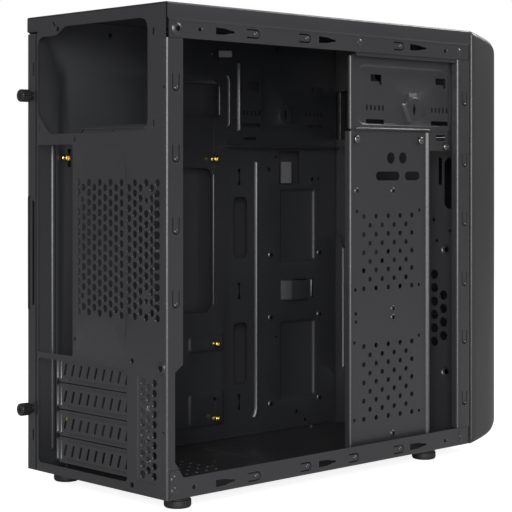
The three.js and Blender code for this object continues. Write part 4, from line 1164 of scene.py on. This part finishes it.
def build_thumbscrew(name, z):
    reach = 11.0
    ribs = 16

    def place(across, upright, along):
        angle = math.atan2(upright, across)
        radius = math.hypot(across, upright)
        if radius > 4.4 and 3.3 < along < reach - 0.5:
            radius -= 0.5 * max(0.0, math.cos(ribs * angle)) ** 2
        return world(PANEL_SCREW_S + radius * math.cos(angle), -along, z + radius * math.sin(angle))

    profile = [(1.2, -7), (1.7, -6.4)]
    for i in range(8):
        profile += [(1.7, -6.2 + 0.8 * i), (1.4, -5.8 + 0.8 * i)]
    profile += [(3.4, 0.3), (3.4, 2.6), (4.0, 2.75), (4.6, 3.1), (4.9, 3.6), (4.9, 5.5), (4.9, 8.5)]
    profile += [(4.9, reach - 0.9), (4.6, reach - 0.3), (4.1, reach), (3.3, reach), (3.2, reach - 1.2)]
    shell = lathe_data(profile, place, 96)
    cap = sheet_data(
        disc(0, 0, 3.3, 32), [cross(0, 0, 2.4, 0.5)], lambda u, v,
        h: world(PANEL_SCREW_S + u, -(reach + h), z + v), thick=1.3,
    )
    add_piece(f"{name}_knob", merge([shell, cap]), BLACK, name, "black", name)


build_thumbscrew("thumbscrew_upper", PANEL_SCREWS[0])
build_thumbscrew("thumbscrew_lower", PANEL_SCREWS[1])


# ---- front bezel -----------------------------------------------------------------------------
BEZEL_REAR = 338.2
BEZEL_FRONT = 377.4
BEZEL_WALL = 2.2
CONTROLS = 320.0
BAY = (10.5, 261.3, 157.5, 303.3)
BEZEL_RINGS = (
    # forward, inset at the sides, top, bottom, corner radius
    (337.9, 1.5, 348.8, 0.9, 3.6),
    (338.2, 0.8, 349.5, 0.2, 4.2),
    (338.9, 0.15, 350.1, -0.5, 4.7),
    (340.0, -0.2, 350.3, -0.8, 5),
    (345, -0.1, 349.3, 0.1, 5),
    (352, 0.2, 347.5, 1.5, 5),
    (359, 0.6, 345.9, 3.0, 5.5),
    (364, 1.1, 344.6, 4.2, 6),
    (368, 1.75, 343.4, 5.6, 6.5),
    (371, 2.5, 342, 7.4, 7),
    (373.4, 3.6, 340.5, 9.0, 7),
    (375.4, 5, 338.6, 11, 7),
    (376.7, 6.5, 336.8, 12.9, 7),
    (377.4, 8.6, 334.8, 15, 7),
)
VENT_T = (345, 359)
VENT_Z = [60 + 24 * i for i in range(9)]
VENT_HIGH = 3.0


def bezel_ring(side, top, low, r):
    steps = 8
    loop = rounded(side, low, WIDTH - side, top, r, steps)
    edge = [(WIDTH - side, z + d) for z in VENT_Z for d in (0, VENT_HIGH)]
    return loop[: steps + 1] + edge + loop[steps + 1 :]


def bezel_shell():
    """Skin and lining of the hood, with the row of side vents left open."""
    vertices = []
    count = 0
    for wall in (0, BEZEL_WALL):
        for i, (t, side, top, low, r) in enumerate(BEZEL_RINGS):
            loop = bezel_ring(side + wall, top - wall, low + wall, r)
            count = len(loop)
            depth = t - (wall if i > 7 else 0)
            vertices += [world(s, depth, z) for s, z in loop]
    rings = len(BEZEL_RINGS)
    first_edge = 9
    faces = []
    skin = lambda layer, ring, i: layer * rings * count + ring * count + i % count
    for ring in range(rings - 1):
        vented = VENT_T[0] <= BEZEL_RINGS[ring][0] < VENT_T[1]
        for i in range(count):
            slot_index = i - first_edge
            hole = vented and 0 <= slot_index < 2 * len(VENT_Z) and slot_index % 2 == 0
            if hole:
                faces.append(
                    (skin(0, ring, i), skin(0, ring + 1, i), skin(1, ring + 1, i), skin(1, ring, i))
                )
                faces.append(
                    (
                        skin(0, ring + 1, i + 1), skin(0, ring, i + 1), skin(1, ring, i + 1),
                        skin(1, ring + 1, i + 1),
                    )
                )
                for end, edge_t in ((ring, VENT_T[0]), (ring + 1, VENT_T[1])):
                    if BEZEL_RINGS[end][0] == edge_t:
                        faces.append(
                            (skin(0, end, i), skin(0, end, i + 1), skin(1, end, i + 1), skin(1, end, i))
                        )
            else:
                for layer in (0, 1):
                    quad = [
                        skin(layer, ring, i), skin(layer, ring, i + 1), skin(layer, ring + 1, i + 1),
                        skin(layer, ring + 1, i),
                    ]
                    faces.append(tuple(quad if layer == 0 else quad[::-1]))
    for i in range(count):
        faces.append((skin(0, 0, i), skin(1, 0, i), skin(1, 0, i + 1), skin(0, 0, i + 1)))
    return np.array(vertices), faces


def shrunk(loop, d):
    """Convex outline moved in by a distance."""
    points = np.array(loop, float)
    middle = points.mean(axis=0)
    out = []
    for i, p in enumerate(points):
        a, b = points[i - 1], points[(i + 1) % len(points)]
        d0 = (p - a) / np.linalg.norm(p - a)
        d1 = (b - p) / np.linalg.norm(b - p)
        n = np.array([-(d0[1] + d1[1]), d0[0] + d1[0]])
        n /= max(np.linalg.norm(n), 1e-9)
        if np.dot(n, middle - p) < 0:
            n = -n
        out.append(tuple(p + n * d / max(0.5, math.sqrt((1 + np.dot(d0, d1)) / 2))))
    return out


def prism(loop, place, low, high, bevel=0.25):
    """Solid block from an outline, its end edges eased."""
    small = shrunk(loop, bevel)
    layers = [(small, low), (loop, low + bevel), (loop, high - bevel), (small, high)]
    vertices = [place(u, v, h) for points, h in layers for u, v in points]
    n = len(loop)
    faces = [
        (k * n + i, k * n + (i + 1) % n, (k + 1) * n + (i + 1) % n, (k + 1) * n + i)
        for k in range(3) for i in range(n)
    ]
    faces += [tuple(range(n)), tuple(3 * n + i for i in range(n))]
    return np.array(vertices), faces


def ahead(u, v, h):
    """Across, up, and forward of the rear face."""
    return world(u, h, v)


def build_bezel():
    t, side, top, low, r = BEZEL_RINGS[-1]
    face = rounded(side, low, WIDTH - side, top, r, 8)
    holes = [
        rounded(BAY[0] - 0.3, BAY[1] - 0.3, BAY[2] + 0.3, BAY[3] + 0.3, 1.5, 4),
        disc(42, CONTROLS, 8.5, 48), disc(62, CONTROLS, 4, 32), disc(78, CONTROLS, 1.5, 20),
        disc(84, CONTROLS, 1.5, 20), disc(134, CONTROLS, 3.6, 32), disc(145, CONTROLS, 3.6, 32),
        *[rounded(s - 6.9, CONTROLS - 3.2, s + 6.9, CONTROLS + 3.2, 0.6, 3) for s in (100, 118)],
        *[rounded(24, 40 + 13.4 * i, WIDTH - 24, 44.6 + 13.4 * i, 2.2, 6) for i in range(15)],
    ]
    plate = sheet_data(
        face, holes, facing_front(t), [pressed(14.5, 30, WIDTH - 14.5, 241, -0.7, 5, 1.6)],
        thick=BEZEL_WALL,
    )
    # The skirt is black rather than the hood's plastic: painted shade that darkens the gap at the hood's
    # rear edge.
    skirt = sheet_data(
        rounded(3.4, 3.4, WIDTH - 3.4, HEIGHT - 4, 4, 6),
        [rounded(5.4, 5.4, WIDTH - 5.4, HEIGHT - 6, 3, 6)], facing_front(BEZEL_REAR + 14),
        thick=BEZEL_REAR + 14 - DEPTH - 0.3,
    )
    clips = []
    for s in (6.4, 161.6):
        for z in (30, 178, 318):
            profile = [(s - 0.9, z - 3.6), (s + 0.7, z - 3.6), (s + 0.7, z + 3.6), (s - 0.9, z + 3.6)]
            clips.append(prism(profile, ahead, DEPTH - 4.6, BEZEL_REAR + 13, 0.4))
    ties = [
        prism(rect(a, 20, b, 330), ahead, BEZEL_REAR + 8, BEZEL_REAR + 13)
        for a, b in ((2.6, 7.4), (WIDTH - 7.4, WIDTH - 2.6))
    ]
    parts = [bezel_shell(), plate, *clips, *ties]
    add_piece("hood", merge(parts), PLASTIC, "bezel", "bezel", "front_bezel", sharp=28)
    add_piece("hood_skirt_painted_shade", skirt, BLACK, "bezel", "black")


def build_dust_filter():
    """Woven screen in a frame, behind the front slots."""
    face = BEZEL_FRONT - BEZEL_WALL - 0.6
    ribs = [pressed(19, z, WIDTH - 19, z + 1.6, 0.4, 0.4, 0.5, 2) for z in range(44, 232, 8)]
    screen = sheet_data(
        rounded(16, 36, WIDTH - 16, 238, 3, 4), [], facing_front(face - 0.6), ribs, thick=0.5,
    )
    frame_edge = sheet_data(
        rounded(14, 34, WIDTH - 14, 240, 4, 5), [rounded(18, 38, WIDTH - 18, 236, 2, 4)],
        facing_front(face), thick=2.2,
    )
    add_piece("dust_filter", merge([screen, frame_edge]), BLACK, "bezel", "black")


def build_bay_cover():
    front = BEZEL_FRONT - 0.4
    frame_outline = rounded(*BAY, 1.5, 5)
    plate = sheet_data(
        frame_outline, [], facing_front(front),
        [
            pressed(BAY[0] + 50, BAY[1] + 7, BAY[2] - 50, BAY[1] + 12, -0.9, 2, 1.2),
            pressed(BAY[0] + 5, BAY[1] + 17, BAY[2] - 5, BAY[3] - 4, 0.35, 3, 1.2),
        ],
        thick=BEZEL_WALL,
    )
    rim = sheet_data(
        frame_outline, [rounded(BAY[0] + 2, BAY[1] + 2, BAY[2] - 2, BAY[3] - 2, 1, 4)],
        facing_front(front - 2), thick=10,
    )
    parts = [plate, rim]
    for s in (BAY[0], BAY[2] - 1.6):
        parts.append(prism(rect(s, BAY[1] + 12, s + 1.6, BAY[1] + 30), ahead, front - 22, front - 2, 0.4))
    add_piece("bay_blank", merge(parts), PLASTIC, "bay_cover", "bezel", "bay_cover", sharp=28)


def build_button(name, s, radius):
    reach = BEZEL_FRONT + 0.6
    inner = BEZEL_FRONT - BEZEL_WALL - 0.3
    profile = [(1.7, inner - 5), (1.9, inner - 4.8), (1.9, inner - 1.6), (radius + 1.6, inner - 1.6)]
    profile += [(radius + 1.6, inner), (radius, inner), (radius, reach - 0.8)]
    for i in range(1, 5):
        angle = math.radians(22.5 * i)
        profile.append((radius - 0.7 + 0.7 * math.cos(angle), reach - 0.8 + 0.8 * math.sin(angle)))
    for share in (0.8, 0.6, 0.4, 0.2):
        profile.append(((radius - 0.9) * share, reach - 0.5 * (1 - share**2)))
    add_piece(f"{name}_cap", lathe_data(profile, forward(s, CONTROLS), 56), PLASTIC, name, "bezel", name)


build_bezel()
build_dust_filter()
build_bay_cover()
build_button("power_button", 42, 8)
build_button("reset_button", 62, 3.5)

# ---- board behind the bezel -------------------------------------------------------------------
IO_BOARD = 360.0


def build_switch(name, s):
    face = IO_BOARD + 5.6
    box = prism(rounded(s - 3, CONTROLS - 3, s + 3, CONTROLS + 3, 0.4, 3), ahead, IO_BOARD + 1.9, face)
    tip = BEZEL_FRONT - BEZEL_WALL - 0.3 - 5 - 1.9
    stem = lathe_data(
        [(1.7, face - 0.4), (1.7, tip - 0.4), (1.3, tip), (0.5, tip + 0.05)], forward(s, CONTROLS), 24,
    )
    add_piece(f"{name}_body", merge([box, stem]), BLACK, "bezel", "black", name)


def build_pipe(name, s):
    base, tip = IO_BOARD + 1.9, BEZEL_FRONT + 0.2
    profile = [
        (1.6, base), (2.0, base + 0.3), (2.0, IO_BOARD + 7.1), (1.7, IO_BOARD + 7.6),
        (1.2, IO_BOARD + 7.9),
    ]
    profile += [(1.2, tip - 0.5), (1.05, tip - 0.2), (0.7, tip - 0.04), (0.3, tip)]
    add_piece(f"{name}_rod", lathe_data(profile, forward(s, CONTROLS), 24), CLEAR, "bezel", "clear", name)


def build_usb(number, s):
    mouth = BEZEL_FRONT - 0.4
    shell = sheet_data(
        rounded(s - 6.5, 317.2, s + 6.5, 322.8, 0.5, 3),
        [rounded(s - 6.1, 317.6, s + 6.1, 322.4, 0.3, 3)], facing_front(mouth),
        thick=mouth - IO_BOARD - 1.9,
    )
    back = prism(rect(s - 6.2, 317.5, s + 6.2, 322.5), ahead, IO_BOARD + 2, IO_BOARD + 4.4)
    add_piece(f"usb_shell_{number}", merge([shell, back]), ZINC, "bezel", "zinc", f"usb_port_{number}")
    blade = prism(rect(s - 5.4, 320.4, s + 5.4, 321.6), ahead, IO_BOARD + 4, mouth - 1)
    add_piece(f"usb_blade_{number}", blade, BLACK, "bezel", "black")


def build_jack(number, s):
    block = prism(rounded(s - 4, 315.6, s + 4, 324.4, 0.6, 3), ahead, IO_BOARD + 1.9, IO_BOARD + 10.4)
    front = BEZEL_FRONT - 0.2
    profile = [(3.2, IO_BOARD + 10), (3.2, front - 0.3), (2.9, front), (2.0, front), (1.8, front - 0.4)]
    profile.append((1.8, IO_BOARD + 10.6))
    barrel = lathe_data(profile, forward(s, CONTROLS), 36)
    add_piece(
        f"jack_body_{number}", merge([block, barrel]), BLACK, "bezel", "black", f"audio_jack_{number}",
    )


def build_io_board():
    holes = [disc(s, 325.5, 1.5, 20) for s in (50.5, 91, 126)]
    board = sheet_data(rounded(34, 311, 153, 329, 1.5, 5), holes, facing_front(IO_BOARD + 1.6), thick=1.6)
    add_piece("control_board", board, BOARD, "bezel", "board", "front_io_board")
    plugs = [
        prism(rounded(s, 312.6, s + 8, 316.2, 0.3, 2), ahead, IO_BOARD - 5.4, IO_BOARD - 0.05)
        for s in (48, 66, 96, 122, 138)
    ]
    add_piece("board_plugs", merge(plugs), BLACK, "bezel", "black")


build_switch("power_switch", 42)
build_switch("reset_switch", 62)
build_pipe("power_light_pipe", 78)
build_pipe("disk_light_pipe", 84)
build_usb(1, 100)
build_usb(2, 118)
build_jack(1, 134)
build_jack(2, 145)
build_io_board()


# ---- floor, light and camera ----------------------------------------------------------------
def build_stage():
    floor = mesh_object(
        "floor", [(-6, -6, -0.0002), (6, -6, -0.0002), (6, 6, -0.0002), (-6, 6, -0.0002)], [(0, 1, 2, 3)],
        FLOOR,
    )


def camera_only(tree, socket, unseen, seen):
    """One strength for the light that falls on the case, another for what the camera sees."""
    rays = tree.nodes.new("ShaderNodeLightPath")
    level = tree.nodes.new("ShaderNodeMapRange")
    level.inputs["To Min"].default_value = unseen
    level.inputs["To Max"].default_value = seen
    tree.links.new(rays.outputs["Is Camera Ray"], level.inputs["Value"])
    tree.links.new(level.outputs["Result"], socket)


FLOOR_GLOW = 0.85
FLOOR, floor_tree, floor_shader = surface("pale_floor", (0.6, 0.6, 0.6), 0.6)
floor_tree.links.new(
    tinted(floor_tree, noise(floor_tree, 3.0), (0.59, 0.59, 0.59), (0.61, 0.61, 0.61)),
    floor_shader.inputs["Base Color"],
)
floor_shader.inputs["Emission Color"].default_value = (1, 1, 1, 1)
camera_only(floor_tree, floor_shader.inputs["Emission Strength"], 0.0, FLOOR_GLOW)
build_stage()

SKY_FILL = 0.3
sky = bpy.data.worlds.new("studio")
bpy.context.scene.world = sky
sky.use_nodes = True
backdrop = sky.node_tree.nodes["Background"]
backdrop.inputs["Color"].default_value = (1, 1, 1, 1)
camera_only(sky.node_tree, backdrop.inputs["Strength"], SKY_FILL, 1.0)


def softbox(name, place, aim, size, power):
    data = bpy.data.lights.new(name, "AREA")
    data.shape = "RECTANGLE"
    data.size, data.size_y = size
    data.energy = power
    lamp = bpy.data.objects.new(name, data)
    lamp.location = place
    lamp.rotation_euler = (Vector(aim) - Vector(place)).to_track_quat("-Z", "Y").to_euler()
    bpy.context.scene.collection.objects.link(lamp)


softbox("key", (-1.75, 1.75, 0.75), (0, 0, 0.18), (0.9, 1.5), 80)
softbox("side", (-0.5, -1.6, 1.45), (0, 0, 0.2), (0.9, 0.6), 26)

# The camera is level, so uprights stay parallel, and its shift lowers the frame instead of a tilt.
CAMERA_PLACE = (-825.3, -701.9, 231.14)
CAMERA_HEADING = 226.36
camera_data = bpy.data.cameras.new("camera")
camera_data.sensor_width = 36
camera_data.lens = 108.97
camera_data.shift_y = -0.1658
camera = bpy.data.objects.new("camera", camera_data)
camera.location = world(*CAMERA_PLACE)
camera.rotation_euler = (math.radians(90), 0, math.radians(CAMERA_HEADING))
bpy.context.scene.collection.objects.link(camera)
bpy.context.scene.camera = camera

bpy.context.scene.view_settings.view_transform = "Standard"
